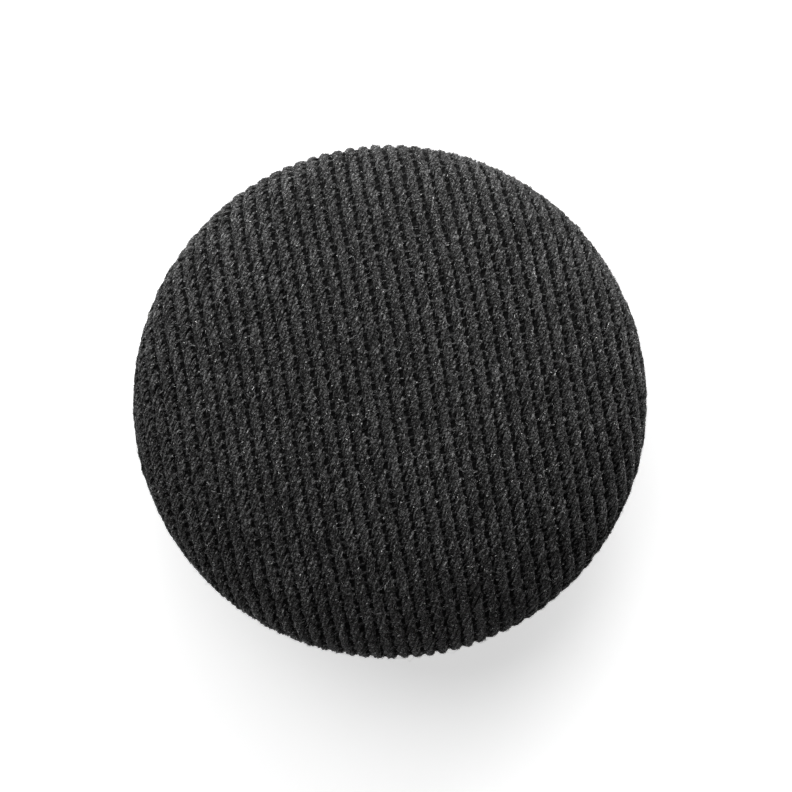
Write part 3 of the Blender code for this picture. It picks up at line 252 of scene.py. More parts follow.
def scaled(tree, source, factor, added=None):
    """Source times factor, plus another output if there is one."""
    kind = "MULTIPLY" if added is None else "MULTIPLY_ADD"
    node = add_node(tree, "ShaderNodeMath", operation=kind)
    tree.links.new(source, node.inputs[0])
    node.inputs[1].default_value = factor
    if added is not None:
        tree.links.new(added, node.inputs[2])
    return node.outputs["Value"]


def add_relief(tree, shader, height, depth):
    """Bump from a height output, with its depth in metres."""
    bump = add_node(tree, "ShaderNodeBump", Strength=1.0, Distance=depth)
    tree.links.new(height, bump.inputs["Height"])
    tree.links.new(bump.outputs["Normal"], shader.inputs["Normal"])


def grained(name, low, high, grain, rough, depth, metallic=0.0, stretch=(1.0, 1.0, 1.0), detail=6.0,
            **sockets):
    """Noise-grained surface: colours low to high, roughness pair, bump depth in metres."""
    material, tree, shader, place = new_material(name)
    mapping = add_node(tree, "ShaderNodeMapping", Scale=stretch)
    tree.links.new(place, mapping.inputs["Vector"])
    fine = noise_level(tree, mapping.outputs["Vector"], grain, detail, 0.6)
    broad = noise_level(tree, mapping.outputs["Vector"], grain / 40.0, 3.0)
    colour = ramp(tree, scaled(tree, broad, 0.5, fine), [(0.45, low), (1.05, high)])
    tree.links.new(colour, shader.inputs["Base Color"])
    gloss = ramp(tree, broad, [(0.3, rough[0]), (0.7, rough[1])])
    tree.links.new(gloss, shader.inputs["Roughness"])
    add_relief(tree, shader, fine, depth)
    shader.inputs["Metallic"].default_value = metallic
    for key, value in sockets.items():
        shader.inputs[key.replace("_", " ")].default_value = value
    return material


# Yarn textures in cycles per metre; the streaks' scale is along, around and between strands.
STREAK_SCALE = (1300.0, 6.0, 1.0)
FLECK_SCALE = 3000.0
# Scale of the painted glints: bright spots in the yarn's colour.
PAINTED_GLINT_SCALE = 3600.0
PATCH_SCALE = 160.0
# How bright the painted glints are, what flecks and patches add to the streaks, and the relief.
PAINTED_GLINT = 0.15
FLECK_SHARE = 0.9
PATCH_SHARE = 0.12
YARN_RELIEF = 0.09 * MM


def yarn_material(name, dark, light, sheen):
    """Spun yarn: fibre streaks that follow each strand, flecks, and painted glints that stand for a
    few glossy fibres.
    """
    material, tree, shader, place = new_material(name)
    yarn = add_node(tree, "ShaderNodeAttribute", attribute_name="yarn")
    # Tone per strand or fibre: random, with painted shade on the lower legs and bridges and painted
    # glint on the pale and loose fibres.
    tone_and_painted_light = add_node(tree, "ShaderNodeAttribute", attribute_name="tone_and_painted_light")
    mapping = add_node(tree, "ShaderNodeMapping", Scale=STREAK_SCALE)
    tree.links.new(yarn.outputs["Vector"], mapping.inputs["Vector"])
    streaks = noise_level(tree, mapping.outputs["Vector"], 1.0, 3.0, 0.7)
    flecks = noise_level(tree, place, FLECK_SCALE, 2.0, 0.6)
    painted_glints = noise_level(tree, place, PAINTED_GLINT_SCALE, 1.0)
    patches = noise_level(tree, place, PATCH_SCALE, 2.0)
    mixed = scaled(tree, flecks, FLECK_SHARE, streaks)
    level = scaled(tree, scaled(tree, patches, PATCH_SHARE, mixed), 0.5)
    fibres = ramp(tree, level, [(0.44, dark), (0.52, (dark + light) * 0.17), (0.60, light)])
    # Painted glints: bright spots added to the yarn's colour where glossy fibres would catch the
    # light.
    painted_shine = ramp(tree, painted_glints, [(0.66, 0.0), (0.76, PAINTED_GLINT)])
    lit = add_node(tree, "ShaderNodeMix", data_type="RGBA", blend_type="ADD")
    lit.inputs["Factor"].default_value = 1.0
    tree.links.new(fibres, lit.inputs["A"])
    tree.links.new(painted_shine, lit.inputs["B"])
    toned = add_node(tree, "ShaderNodeVectorMath", operation="SCALE")
    tree.links.new(lit.outputs["Result"], toned.inputs["Vector"])
    tree.links.new(tone_and_painted_light.outputs["Fac"], toned.inputs["Scale"])
    tree.links.new(toned.outputs["Vector"], shader.inputs["Base Color"])
    add_relief(tree, shader, mixed, YARN_RELIEF)
    shader.inputs["Roughness"].default_value = 0.80
    shader.inputs["Sheen Weight"].default_value = sheen
    shader.inputs["Sheen Roughness"].default_value = 0.45
    shader.inputs["Specular IOR Level"].default_value = 0.08
    return material


yarn = yarn_material("yarn_black", 0.001, 0.225, 0.10)
fibre = yarn_material("fibre_charcoal", 0.060, 0.360, 0.06)
# Pale fibre: its light colour is painted glint, standing for light caught by glossy black fibres.
painted_glint_fibre = yarn_material("fibre_painted_glint", 0.40, 0.85, 0.06)
# Near-black cloth seen through the holes: the back of the knit, coloured darker than the yarn as
# painted shade in the holes.
ground_cloth_and_hole_shade = grained("knit_ground", 0.003, 0.013, 2500.0, (0.85, 0.95), 0.05 * MM,
                       Specular_IOR_Level=0.05)
base_plastic = grained("base_moulded", 0.016, 0.026, 3800.0, (0.42, 0.55), 0.012 * MM)
foot_silicone = grained("foot_silicone", 0.030, 0.050, 1500.0, (0.62, 0.78), 0.01 * MM)
slider_plastic = grained("slider_moulded", 0.070, 0.105, 4200.0, (0.38, 0.5), 0.008 * MM)
button_plastic = grained("button_moulded", 0.050, 0.075, 4200.0, (0.38, 0.5), 0.008 * MM)
plated_steel = grained("plated_steel", (0.46, 0.46, 0.44), (0.62, 0.62, 0.60), 900.0, (0.22, 0.36),
                       0.002 * MM, metallic=1.0, stretch=(1.0, 1.0, 9.0))
chip_resin = grained("chip_resin", 0.012, 0.024, 6000.0, (0.45, 0.6), 0.004 * MM)
contact_gold = grained("contact_gold", (0.72, 0.48, 0.18), (0.86, 0.62, 0.26), 4000.0, (0.2, 0.3),
                       0.001 * MM, metallic=1.0)


# ---------------- knit

KNIT_PIECES = 6
# The hole column passes through the cell origins; a rib's middle is half a wale across.
RIB_MIDDLE = (WALE - COURSE * 0.63) / 2.0
# Crown and sink are how far a strand's middle and ends lie below the outer form.
# A strand's tone below 1 is painted shade: the lower leg is duller, and the bridge is darker for the
# shaded crease along each column of holes.
STRANDS = {
    "upper": dict(middle=RIB_MIDDLE, length=4.5 * MM, lean=STRAND_LEAN, bow=0.05 * MM,
                  steps=11, crown=0.25 * MM, sink=0.85 * MM, radius=0.29 * MM, sides=7,
                  tone_and_painted_light=1.0),
    "lower": dict(middle=RIB_MIDDLE + COURSE / 2.0, length=4.0 * MM, lean=STRAND_LEAN,
                  bow=0.05 * MM, steps=9, crown=0.36 * MM, sink=0.90 * MM, radius=0.28 * MM,
                  sides=6, tone_and_painted_light=0.85),
    "bridge": dict(middle=COURSE / 2.0, length=1.5 * MM, lean=math.radians(60.0), bow=0.0,
                   steps=6, crown=0.74 * MM, sink=1.00 * MM, radius=0.28 * MM, sides=6,
                   tone_and_painted_light=0.42),
}
LINT_SHARES = {"upper": 0.60, "lower": 0.26, "bridge": 0.18}
# How far round a strand lint sits, in radians: its usual spread and the most.
LINT_LEAN = 0.90
LINT_LEAN_MOST = 1.5

# How much one stitch differs from the next.
TURN_JITTER = math.radians(3.5)
LENGTH_JITTER = 0.03
PLACE_JITTER = 0.06 * MM
HEIGHT_JITTER = 0.05 * MM
RADIUS_JITTER = 0.09
TONE_JITTER = 0.18
YARN_TWIST = 2600.0
YARN_PLY = 0.10


def fabric_sway(points):
    """Slow drift of the stitches, as a hand-stretched knit has; points (..., 2) in metres."""
    x, y = points[..., 0] / (31.0 * MM), points[..., 1] / (27.0 * MM)
    shift_x = 0.34 * np.sin(1.3 * x + 0.9 * y + 0.4) + 0.18 * np.sin(2.9 * y - 1.1 * x)
    shift_y = 0.30 * np.sin(1.7 * x - 0.6 * y + 2.0) + 0.16 * np.sin(2.3 * x + 2.6 * y)
    return points + np.stack([shift_x, shift_y], axis=-1) * MM


def cell_origins():
    """Origins of all knit cells that lie within the fabric."""
    across = np.arange(-40, 41)
    down = np.arange(-60, 61)
    i, j = np.meshgrid(across, down, indexing="ij")
    points = i[..., None] * WALE + j[..., None] * COURSE
    points = points.reshape(-1, 2)
    return points[np.hypot(points[:, 0], points[:, 1]) < surface.reach]


def strand_rows(cells, middle, length, lean, bow, steps):
    """Flat centre lines (n, steps, 2) of one strand per cell, bowed sideways by bow."""
    share = np.linspace(-0.5, 0.5, steps)
    turn = lean + rng.normal(0.0, TURN_JITTER, len(cells))
    along = np.stack([np.sin(turn), np.cos(turn)], axis=-1)
    across = np.stack([np.cos(turn), -np.sin(turn)], axis=-1)
    size = length * (1.0 + rng.normal(0.0, LENGTH_JITTER, len(cells)))
    centre = cells + middle + rng.normal(0.0, PLACE_JITTER, cells.shape)
    return (centre[:, None, :]
            + along[:, None, :] * (share[None, :] * size[:, None])[..., None]
            + across[:, None, :] * (bow * np.sin(share * 2.0 * math.pi))[None, :, None])


def make_strands(name, cells, middle, length, lean, bow, steps, crown, sink, radius, sides, tone_and_painted_light):
    """One kind of strand over all cells; crown and sink are heights below the outer form."""
    rows = fabric_sway(strand_rows(cells, middle, length, lean, bow, steps))
    share = np.linspace(-1.0, 1.0, steps)
    arch = 1.0 - np.abs(share) ** 3.0
    lift = rng.normal(0.0, HEIGHT_JITTER, len(cells))
    height = -(sink + (crown - sink) * arch)[None, :] + lift[:, None]
    centres, normals = surface.place(rows, height)
    taper = 0.72 + 0.28 * (1.0 - np.abs(share) ** 4.0)
    size = radius * (1.0 + rng.normal(0.0, RADIUS_JITTER, len(cells)))[:, None] * taper[None, :]
    seeds = rng.random(len(cells))
    tones_and_painted_light = tone_and_painted_light * rng.lognormal(0.0, TONE_JITTER, len(cells))
    mesh = tube_mesh(name, centres, normals, size, 0.9, sides, YARN_TWIST, seeds, tones_and_painted_light, YARN_PLY)
    return mesh, (centres, normals, size)


def join_meshes(name, meshes):
    """One smooth mesh from several, with their attributes."""
    shape = bmesh.new()
    for mesh in meshes:
        shape.from_mesh(mesh)
    joined = bpy.data.meshes.new(name)
    shape.to_mesh(joined)
    shape.free()
    joined.shade_smooth()
    return joined


def make_knit():
    """Knit over the whole cover, in one piece per sector, and the strands that lint clings to."""
    cells = cell_origins()
    order = np.argsort(np.arctan2(cells[:, 1], cells[:, 0]))
    pieces, hosts = [], []
    for number, members in enumerate(np.array_split(order, KNIT_PIECES), start=1):
        name = f"knit_{number}"
        meshes = []
        for kind, values in STRANDS.items():
            mesh, lines = make_strands(f"{name}_{kind}", cells[members], **values)
            meshes.append(mesh)
            hosts.append((lines, LINT_SHARES[kind]))
        pieces.append(add_object(name, join_meshes(name, meshes), yarn))
    return pieces, hosts


def make_lint(name, hosts, material, count, length, radius, spread, tone_and_painted_light, contrast):
    """Short fibres that lie along the strands, each a fine closed prism.

    spread is how far they turn away from the strand and contrast how much their tones differ.
    """
    paths, ups, tones_and_painted_light = [], [], []
    total = sum(weight for _, weight in hosts)
    for (centres, normals, size), weight in hosts:
        number = int(count * weight / total)
        strand = rng.integers(0, len(centres), number)
        steps = centres.shape[1]
        at = rng.uniform(0.5, steps - 1.5, number)
        low = np.floor(at).astype(int)
        part = (at - low)[:, None]
        middle = centres[strand, low] * (1.0 - part) + centres[strand, low + 1] * part
        up = normals[strand, low]
        along = centres[strand, low + 1] - centres[strand, low]
        along /= np.linalg.norm(along, axis=1, keepdims=True)
        side = np.cross(along, up)
        lean = rng.normal(0.0, LINT_LEAN, number).clip(-LINT_LEAN_MOST, LINT_LEAN_MOST)[:, None]
        outward = side * np.sin(lean) + up * np.cos(lean)
        across = side * np.cos(lean) - up * np.sin(lean)
        turn = rng.normal(0.0, spread, number)[:, None]
        way = along * np.cos(turn) + across * np.sin(turn)
        half = (length * rng.lognormal(0.0, 0.4, number) / 2.0)[:, None]
        clear = rng.uniform(1.0, 1.35, number)[:, None]
        middle = middle + outward * (size[strand, low][:, None] * clear)
        tip = outward * (half * rng.uniform(-0.05, 0.22, number)[:, None])
        paths.append(np.stack([middle - way * half, middle + way * half + tip], axis=1))
        ups.append(np.stack([outward, outward], axis=1))
        tones_and_painted_light.append((tone_and_painted_light * rng.lognormal(0.0, contrast, number)).clip(0.0, 3.0))
    paths, ups, tones_and_painted_light = np.concatenate(paths), np.concatenate(ups), np.concatenate(tones_and_painted_light)
    width = radius * np.array([1.0, 0.7])[None, :] * rng.uniform(0.7, 1.3, len(paths))[:, None]
    mesh = tube_mesh(name, paths, ups, width, 0.7, 3, 0.0, rng.random(len(paths)), tones_and_painted_light)
    return add_object(name, mesh, material)


FUZZ_REACH = 0.97
# Tone of the loose fibres: twice the charcoal fibre's, as painted glint where they would catch the
# light.
FUZZ_TONE_AND_GLINT = 2.0
FUZZ_STEPS = 4
FUZZ_CURL = 1.1
FUZZ_ROOT = 0.30 * MM


def make_fuzz(name, count, length, radius, rise):
    """Loose fibres lying over the knit, each a fine closed three-sided tube."""
    reach = surface.reach * FUZZ_REACH * np.sqrt(rng.random(count))
    turn = rng.random(count) * 2.0 * math.pi
    start = np.stack([reach * np.cos(turn), reach * np.sin(turn)], axis=-1)
    share = np.linspace(0.0, 1.0, FUZZ_STEPS)
    way = rng.random(count) * 2.0 * math.pi
    size = length * rng.lognormal(0.0, 0.45, count)
    curl = rng.normal(0.0, FUZZ_CURL, count)
    angle = way[:, None] + curl[:, None] * share[None, :]
    step = size[:, None] / (FUZZ_STEPS - 1)
    path = np.cumsum(np.stack([np.cos(angle), np.sin(angle)], axis=-1) * step[..., None], axis=1)
    rows = start[:, None, :] + path
    first = -FUZZ_ROOT * rng.random(count)
    top = rise * rng.random(count) ** 2
    height = first[:, None] + top[:, None] * np.sin(share * math.pi * 0.8)[None, :]
    centres, normals = surface.place(rows, height)
    width = np.full((count, FUZZ_STEPS), radius) * (1.0 - 0.5 * share)[None, :]
    tones_and_painted_light = FUZZ_TONE_AND_GLINT * rng.lognormal(0.0, 0.35, count)
    mesh = tube_mesh(name, centres, normals, width, 1.0, 3, 0.0, rng.random(count), tones_and_painted_light)
    return add_object(name, mesh, fibre)


GROUND_DEPTHS = (0.80 * MM, 1.18 * MM)


def make_ground():
    """Dark cloth between and behind the stitches, darker than the yarn as painted shade in the holes;
    closed, with its hem turned in.
    """
    pick = np.unique(np.linspace(0, len(surface.r) - 1, 120).astype(int))
    profile = []
    for depth, order in zip(GROUND_DEPTHS, (pick, pick[::-1])):
        for index in order:
            r = max(surface.r[index] - surface.nr[index] * depth, 0.0)
            profile.append((float(r), float(surface.z[index] - surface.nz[index] * depth)))
    profile[0] = (0.0, profile[0][1])
    profile[-1] = (0.0, profile[-1][1])
    return add_object("knit_ground", turned_mesh("knit_ground", profile, 120), ground_cloth_and_hole_shade)


knit, hosts = make_knit()
# Name, material, count, length, radius, spread, tone and contrast; the pale fibres' light colour and
# high tone are painted glint.
LINTS = (
    ("lint_bundles", fibre, 15000, 0.60 * MM, 0.054 * MM, 0.45, 0.32, 1.3),
    ("lint_mixed", fibre, 24000, 0.30 * MM, 0.060 * MM, 1.00, 0.42, 1.5),
    # The pale lint is painted glint: light fibres that stand for glossy fibres catching the light.
    ("lint_painted_glint", painted_glint_fibre, 6500, 0.24 * MM, 0.062 * MM, 1.10, 1.2, 0.7),
    ("lint_loose", painted_glint_fibre, 7000, 0.50 * MM, 0.026 * MM, 1.30, 1.1, 0.7),
)
fuzz = [make_lint(name, hosts, *values) for name, *values in LINTS]
fuzz += [make_fuzz("fuzz_short", 1500, 0.9 * MM, 0.024 * MM, 0.3 * MM),
         make_fuzz("fuzz_long", 900, 2.2 * MM, 0.020 * MM, 0.9 * MM)]
ground = make_ground()
for piece in [ground] + knit + fuzz:
    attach(piece, HUB)
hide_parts("fabric_cover")

# ---------------- solid helpers

def boolean(obj, other, operation):
    """Combine obj with another solid and drop that solid."""
    modifier = obj.modifiers.new("Boolean", "BOOLEAN")
    modifier.operation = operation
    modifier.solver = "EXACT"
    modifier.object = other
    graph = bpy.context.evaluated_depsgraph_get()
    made = bpy.data.meshes.new_from_object(obj.evaluated_get(graph))
    obj.modifiers.clear()
    obj.data = made
    bpy.data.objects.remove(other)


def finish_solid(obj, material, body, replaced=None, angle=30.0):
    """Smooth by angle, paint, say what the solid rides on, if anything, and hide the CAD part that it
    stands for.
    """
    obj.data.shade_smooth()
    obj.data.set_sharp_from_angle(angle=math.radians(angle))
    obj.data.materials.clear()
    obj.data.materials.append(material)
    if body:
        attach(obj, body)
    if replaced:
        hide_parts(replaced)


def turned_solid(name, profile, steps=160, centre=(0.0, 0.0)):
    """Turned body as an object, moved to a centre."""
    obj = add_object(name, turned_mesh(name, profile, steps))
    obj.data.transform(Matrix.Translation((*centre, 0.0)))
    return obj


def round_corners(points, radius, steps=5):
    """Closed outline with its corners replaced by arcs; a corner may have its own radius."""
    count = len(points)
    radii = radius if hasattr(radius, "__len__") else [radius] * count
    outline = []
    for index, corner in enumerate(points):
        before = Vector(points[index - 1]) - Vector(corner)
        after = Vector(points[(index + 1) % count]) - Vector(corner)
        reach = radii[index]
        if reach <= 0.0:
            outline.append(tuple(corner))
            continue
        opening = before.angle(after)
        back = reach / math.tan(opening / 2.0)
        start = Vector(corner) + before.normalized() * back
        end = Vector(corner) + after.normalized() * back
        for step in range(steps + 1):
            share = step / steps
            blend = start.lerp(Vector(corner), share).lerp(Vector(corner).lerp(end, share), share)
            outline.append(tuple(blend))
    return outline


def prism(name, outline, low, high, edge=0.0, frame_matrix=None):
    """Outline in its X-Y plane pushed from low to high, with softened end edges."""
    shape = bmesh.new()
    bottom = [shape.verts.new((x, y, low)) for x, y in outline]
    face = shape.faces.new(bottom)
    top = bmesh.ops.extrude_face_region(shape, geom=[face])
    moved = [item for item in top["geom"] if isinstance(item, bmesh.types.BMVert)]
    bmesh.ops.translate(shape, verts=moved, vec=(0.0, 0.0, high - low))
    bmesh.ops.recalc_face_normals(shape, faces=shape.faces)
    if edge > 0.0:
        ends = [item for item in shape.edges
                if abs(item.verts[0].co.z - item.verts[1].co.z) < 0.01 * MM]
        bmesh.ops.bevel(shape, geom=ends, offset=edge, segments=3, profile=0.5,
                        affect="EDGES", clamp_overlap=True)
    if frame_matrix is not None:
        shape.transform(frame_matrix)
        bmesh.ops.recalc_face_normals(shape, faces=shape.faces)
    mesh = bpy.data.meshes.new(name)
    shape.to_mesh(mesh)
    shape.free()
    return add_object(name, mesh)


def rectangle(width, height, radius, steps=6):
    """Outline of a rectangle with rounded corners."""
    x, y = width / 2.0, height / 2.0
    return round_corners([(-x, -y), (x, -y), (x, y), (-x, y)], radius, steps)


def facing_y(z):
    """Frame whose X-Y plane stands upright at height z, with its Z axis along world Y."""
    return Matrix.Translation((0.0, 0.0, z)) @ Matrix(
        ((-1, 0, 0, 0), (0, 0, 1, 0), (0, 1, 0, 0), (0, 0, 0, 1)))


# ---------------- base, foot and controls

BASE_RIM_RADIUS = base_high[0]
BASE_BOTTOM_Z = base_low[2]
BASE_RIM_Z = 13.7 * MM
BASE_FLAT_RADIUS = 33.5 * MM
BASE_FLOOR_Z = 4.2 * MM
BASE_CENTRE_RADIUS = 22.2 * MM
BASE_CENTRE_FLOOR_Z = 3.2 * MM
BASE_WALL = 2.0 * MM
LIP_RADII = (42.1 * MM, 43.9 * MM)
LIP_TOP_Z = base_high[2]
RIM_ROUND = 0.35 * MM
FOOT_RADII = (23.5 * MM, 31.5 * MM)
GAP = 0.3 * MM
EDGE = 0.2 * MM
POST_ROOT = 0.5 * MM
# Radius of the circle, angles, radius, top, bore radius and bottom of the bore.
COLUMNS = (27.5 * MM, (45.0, 135.0, 225.0, 315.0), 3.9 * MM, 11.3 * MM, 1.5 * MM,
           BASE_BOTTOM_Z - MM)
BOSSES = (33.0 * MM, (0.0, 180.0, 240.0), 2.6 * MM, 5.8 * MM, 1.2 * MM, 3.4 * MM)
BORE_TOP_Z = 20.0 * MM
HEAD_RADIUS = 2.7 * MM
HEAD_TOP_Z = 4.7 * MM
# Inlet: width, height and corner radius of the block, the pocket and the aperture.
INLET_BLOCK = (14.8 * MM, 8.6 * MM, 0.8 * MM)
INLET_POCKET = (12.4 * MM, 6.2 * MM, 1.5 * MM)
INLET_APERTURE = (9.5 * MM, 3.8 * MM, 1.85 * MM)
INLET_WALL = 1.2 * MM
INLET_INSET = 0.5 * MM
POCKET_MOUTH_Y = 52.0 * MM
SLIDER_TURN = math.radians(56.0)
SLIDER_TRAVEL = 3.0 * MM
CONTROL_Z = 9.2 * MM
RESET_Y = 14.0 * MM
RESET_BORE_RADIUS = 3.3 * MM
RESET_CHAMFER = 0.25 * MM
RESET_BORE_TOP_Z = 6.0 * MM


def bowl_curve(rim_radius, bottom_z, steps):
    """Quarter ellipse from the rim of the base down to its flat bottom."""
    turns = [math.radians(90.0 * index / steps) for index in range(steps + 1)]
    return [(BASE_FLAT_RADIUS + (rim_radius - BASE_FLAT_RADIUS) * math.cos(turn),
             BASE_RIM_Z - (BASE_RIM_Z - bottom_z) * math.sin(turn)) for turn in turns]


def base_section():
    """Section loop of the bowl with its lip and the recess for the foot."""
    outer = bowl_curve(BASE_RIM_RADIUS, BASE_BOTTOM_Z, 36)
    rim = [(BASE_RIM_RADIUS - RIM_ROUND * (1.0 - math.sin(turn)),
            BASE_RIM_Z - RIM_ROUND * (1.0 - math.cos(turn)))
           for turn in (0.0, math.pi / 6.0, math.pi / 3.0)]
    outer = rim + [point for point in outer if point[1] < BASE_RIM_Z - RIM_ROUND]
    inner = [(0.0, BASE_CENTRE_FLOOR_Z), (BASE_CENTRE_RADIUS, BASE_CENTRE_FLOOR_Z),
             (BASE_CENTRE_RADIUS, BASE_FLOOR_Z)]
    inner += bowl_curve(BASE_RIM_RADIUS - BASE_WALL, BASE_FLOOR_Z, 16)[:0:-1]
    lip = [(LIP_RADII[0], BASE_RIM_Z), (LIP_RADII[0], LIP_TOP_Z - RIM_ROUND),
           (LIP_RADII[0] + RIM_ROUND, LIP_TOP_Z), (LIP_RADII[1] - RIM_ROUND, LIP_TOP_Z),
           (LIP_RADII[1], LIP_TOP_Z - RIM_ROUND), (LIP_RADII[1], BASE_RIM_Z)]
    near, far, top = FOOT_RADII[0] - GAP, FOOT_RADII[1] + GAP, foot_high[2] + GAP
    under = [(far + EDGE, BASE_BOTTOM_Z), (far, BASE_BOTTOM_Z + EDGE), (far, top), (near, top),
             (near, BASE_BOTTOM_Z + EDGE), (near - EDGE, BASE_BOTTOM_Z), (0.0, BASE_BOTTOM_Z)]
    return inner + lip + outer + under


def inlet_block(back):
    """Material round the inlet's pocket, kept inside the outer form of the base."""
    width, height, corner = INLET_BLOCK
    block = prism("inlet_block", rectangle(width, height, corner), back - INLET_WALL,
                  BASE_RIM_RADIUS, frame_matrix=facing_y(CONTROL_Z))
    bowl = bowl_curve(BASE_RIM_RADIUS - INLET_INSET, BASE_BOTTOM_Z + INLET_INSET, 24)
    envelope = [(0.0, BASE_RIM_Z - 0.6 * MM)]
    envelope += [point for point in bowl if point[1] < BASE_RIM_Z - 0.7 * MM]
    envelope.append((0.0, BASE_BOTTOM_Z + INLET_INSET))
    boolean(block, turned_solid("inlet_envelope", envelope, 96), "INTERSECT")
    return block


def plug(name, radius, low, high, sides, place):
    """Upright round body at a place."""
    return turned_solid(name, [(0.0, low), (radius, low), (radius, high), (0.0, high)], sides, place)


def add_posts(base, circle, angles, radius, top, bore_radius, bore_bottom, head):
    """Bored posts on the floor of the base, with a pocket for a screw head below if head is set."""
    for angle in angles:
        place = (circle * math.cos(math.radians(angle)), circle * math.sin(math.radians(angle)))
        boolean(base, plug("post", radius, BASE_FLOOR_Z - POST_ROOT, top, 32, place), "UNION")
        boolean(base, plug("bore", bore_radius, bore_bottom, BORE_TOP_Z, 24, place), "DIFFERENCE")
        if head:
            boolean(base, plug("head", HEAD_RADIUS, BASE_BOTTOM_Z, HEAD_TOP_Z, 32, place),
                    "DIFFERENCE")


def base_cutters(back):
    """Bodies that open the inlet, the switch slot and the bore of the reset button."""
    upright = facing_y(CONTROL_Z)
    wide, rim_z = RESET_BORE_RADIUS + RESET_CHAMFER, BASE_BOTTOM_Z + RESET_CHAMFER
    reset_bore = [(0.0, 0.0), (wide, 0.0), (wide, BASE_BOTTOM_Z), (RESET_BORE_RADIUS, rim_z),
                  (RESET_BORE_RADIUS, RESET_BORE_TOP_Z), (0.0, RESET_BORE_TOP_Z)]
    return (prism("pocket", rectangle(*INLET_POCKET, 8), back, POCKET_MOUTH_Y, frame_matrix=upright),
            prism("aperture", rectangle(*INLET_APERTURE, 8), back - 4.0 * MM, back + MM,
                  frame_matrix=upright),
            slider_slot(),
            turned_solid("reset_bore", reset_bore, 64, (0.0, RESET_Y)))


def make_base():
    """Moulded bowl with its lip, foot recess, inlet pocket, switch slot and reset bore."""
    base = turned_solid("base_casing", base_section(), 192)
    pocket_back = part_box("usb_c_shell")[1][1] + GAP
    boolean(base, inlet_block(pocket_back), "UNION")
    add_posts(base, *COLUMNS, head=True)
    add_posts(base, *BOSSES, head=False)
    for cutter in base_cutters(pocket_back):
        boolean(base, cutter, "DIFFERENCE")
    finish_solid(base, base_plastic, HUB, "base_shell")


# Switch slot: width, height and corner radius, and how far out it starts and ends.
SLIDER_SLOT = (8.0 * MM, 3.2 * MM, 0.5 * MM)
SLIDER_SLOT_REACH = (40.0 * MM, 48.0 * MM)


def slider_frame():
    """Frame whose X axis points out through the wall at the slider and Y runs along it."""
    return Matrix.Rotation(SLIDER_TURN, 4, "Z") @ Matrix.Translation((0.0, 0.0, CONTROL_Z))


def slider_slot():
    """Rounded slot through the wall, as wide as the knob's travel needs."""
    upright = Matrix(((0, 0, 1, 0), (1, 0, 0, 0), (0, 1, 0, 0), (0, 0, 0, 1)))
    return prism("slider_slot", rectangle(*SLIDER_SLOT), *SLIDER_SLOT_REACH,
                 frame_matrix=slider_frame() @ upright)


FOOT_EDGE = 0.4 * MM
GROOVE_RADII = (29.6 * MM, 27.5 * MM, 25.4 * MM)
# Across and up through one groove, in millimetres.
GROOVE = ((0.34, 0.0), (0.26, 0.10), (0.12, 0.22), (-0.12, 0.22), (-0.26, 0.10), (-0.34, 0.0))


def make_foot():
    """Silicone ring with softened edges and three shallow grip grooves underneath."""
    inner, outer = FOOT_RADII
    top, edge = foot_high[2], FOOT_EDGE
    arc = [math.radians(15.0 * step) for step in range(7)]
    profile = [(outer, top)]
    profile += [(outer - edge * (1.0 - math.cos(turn)), edge * (1.0 - math.sin(turn))) for turn in arc]
    for middle in GROOVE_RADII:
        profile += [(middle + offset * MM, depth * MM) for offset, depth in GROOVE]
    profile += [(inner + edge * (1.0 - math.sin(turn)), edge * (1.0 - math.cos(turn))) for turn in arc]
    profile.append((inner, top))
    foot = turned_solid("foot_ring", profile, 192)
    finish_solid(foot, foot_silicone, HUB, "foot_pad", 50.0)


KNOB_REACH = (43.3 * MM, 46.1 * MM)
KNOB_HALF_WIDTH = 2.2 * MM
KNOB_HALF_HEIGHT = 1.3 * MM
KNOB_EDGE = 0.22 * MM
STEM_REACH = (38.9 * MM, 43.8 * MM)
STEM_HALF_WIDTH = 0.9 * MM
STEM_HALF_HEIGHT = 0.7 * MM
# Grip ridges: half the width that they take, their pitch and half their depth.
RIDGE_SPAN = 1.75 * MM
RIDGE_PITCH = 0.875 * MM
RIDGE_DEPTH = 0.13 * MM
RIDGE_STEPS = 40


def make_slider():
    """Microphone switch: a knob with grip ridges on a stem through the wall."""
    inner, outer = KNOB_REACH
    half = KNOB_HALF_WIDTH
    rest = -SLIDER_TRAVEL / 2.0
    ridges = []
    for step in range(RIDGE_STEPS + 1):
        y = RIDGE_SPAN * (2.0 * step / RIDGE_STEPS - 1.0)
        ridges.append((outer - RIDGE_DEPTH * (1.0 + math.cos(2.0 * math.pi * y / RIDGE_PITCH)), y))
    start = [(inner, -half), (outer - 0.45 * MM, -half), (outer - 0.08 * MM, -half + 0.25 * MM)]
    end = [(x, -y) for x, y in start[::-1]]
    frame_matrix = slider_frame()
    knob = prism("mute_knob", [(x, y + rest) for x, y in start + ridges + end], -KNOB_HALF_HEIGHT,
                 KNOB_HALF_HEIGHT, KNOB_EDGE, frame_matrix)
    near, far = STEM_REACH
    low, high = rest - STEM_HALF_WIDTH, rest + STEM_HALF_WIDTH
    stem = prism("stem", [(near, low), (far, low), (far, high), (near, high)], -STEM_HALF_HEIGHT,
                 STEM_HALF_HEIGHT, 0.0, frame_matrix)
    boolean(knob, stem, "UNION")
    finish_solid(knob, slider_plastic, "mute_switch_slider", "mute_slider")


RESET_FACE_Z = 1.4 * MM
RESET_RADIUS = 3.0 * MM
RESET_FLANGE_RADIUS = 4.0 * MM
RESET_FLANGE = (3.5 * MM, 4.0 * MM)
RESET_NIB_RADIUS = 1.1 * MM
RESET_NIB_TOP_Z = 4.3 * MM
DISH_RADIUS = 2.2 * MM
DISH_DEPTH = 0.22 * MM
DISH_STEPS = 8


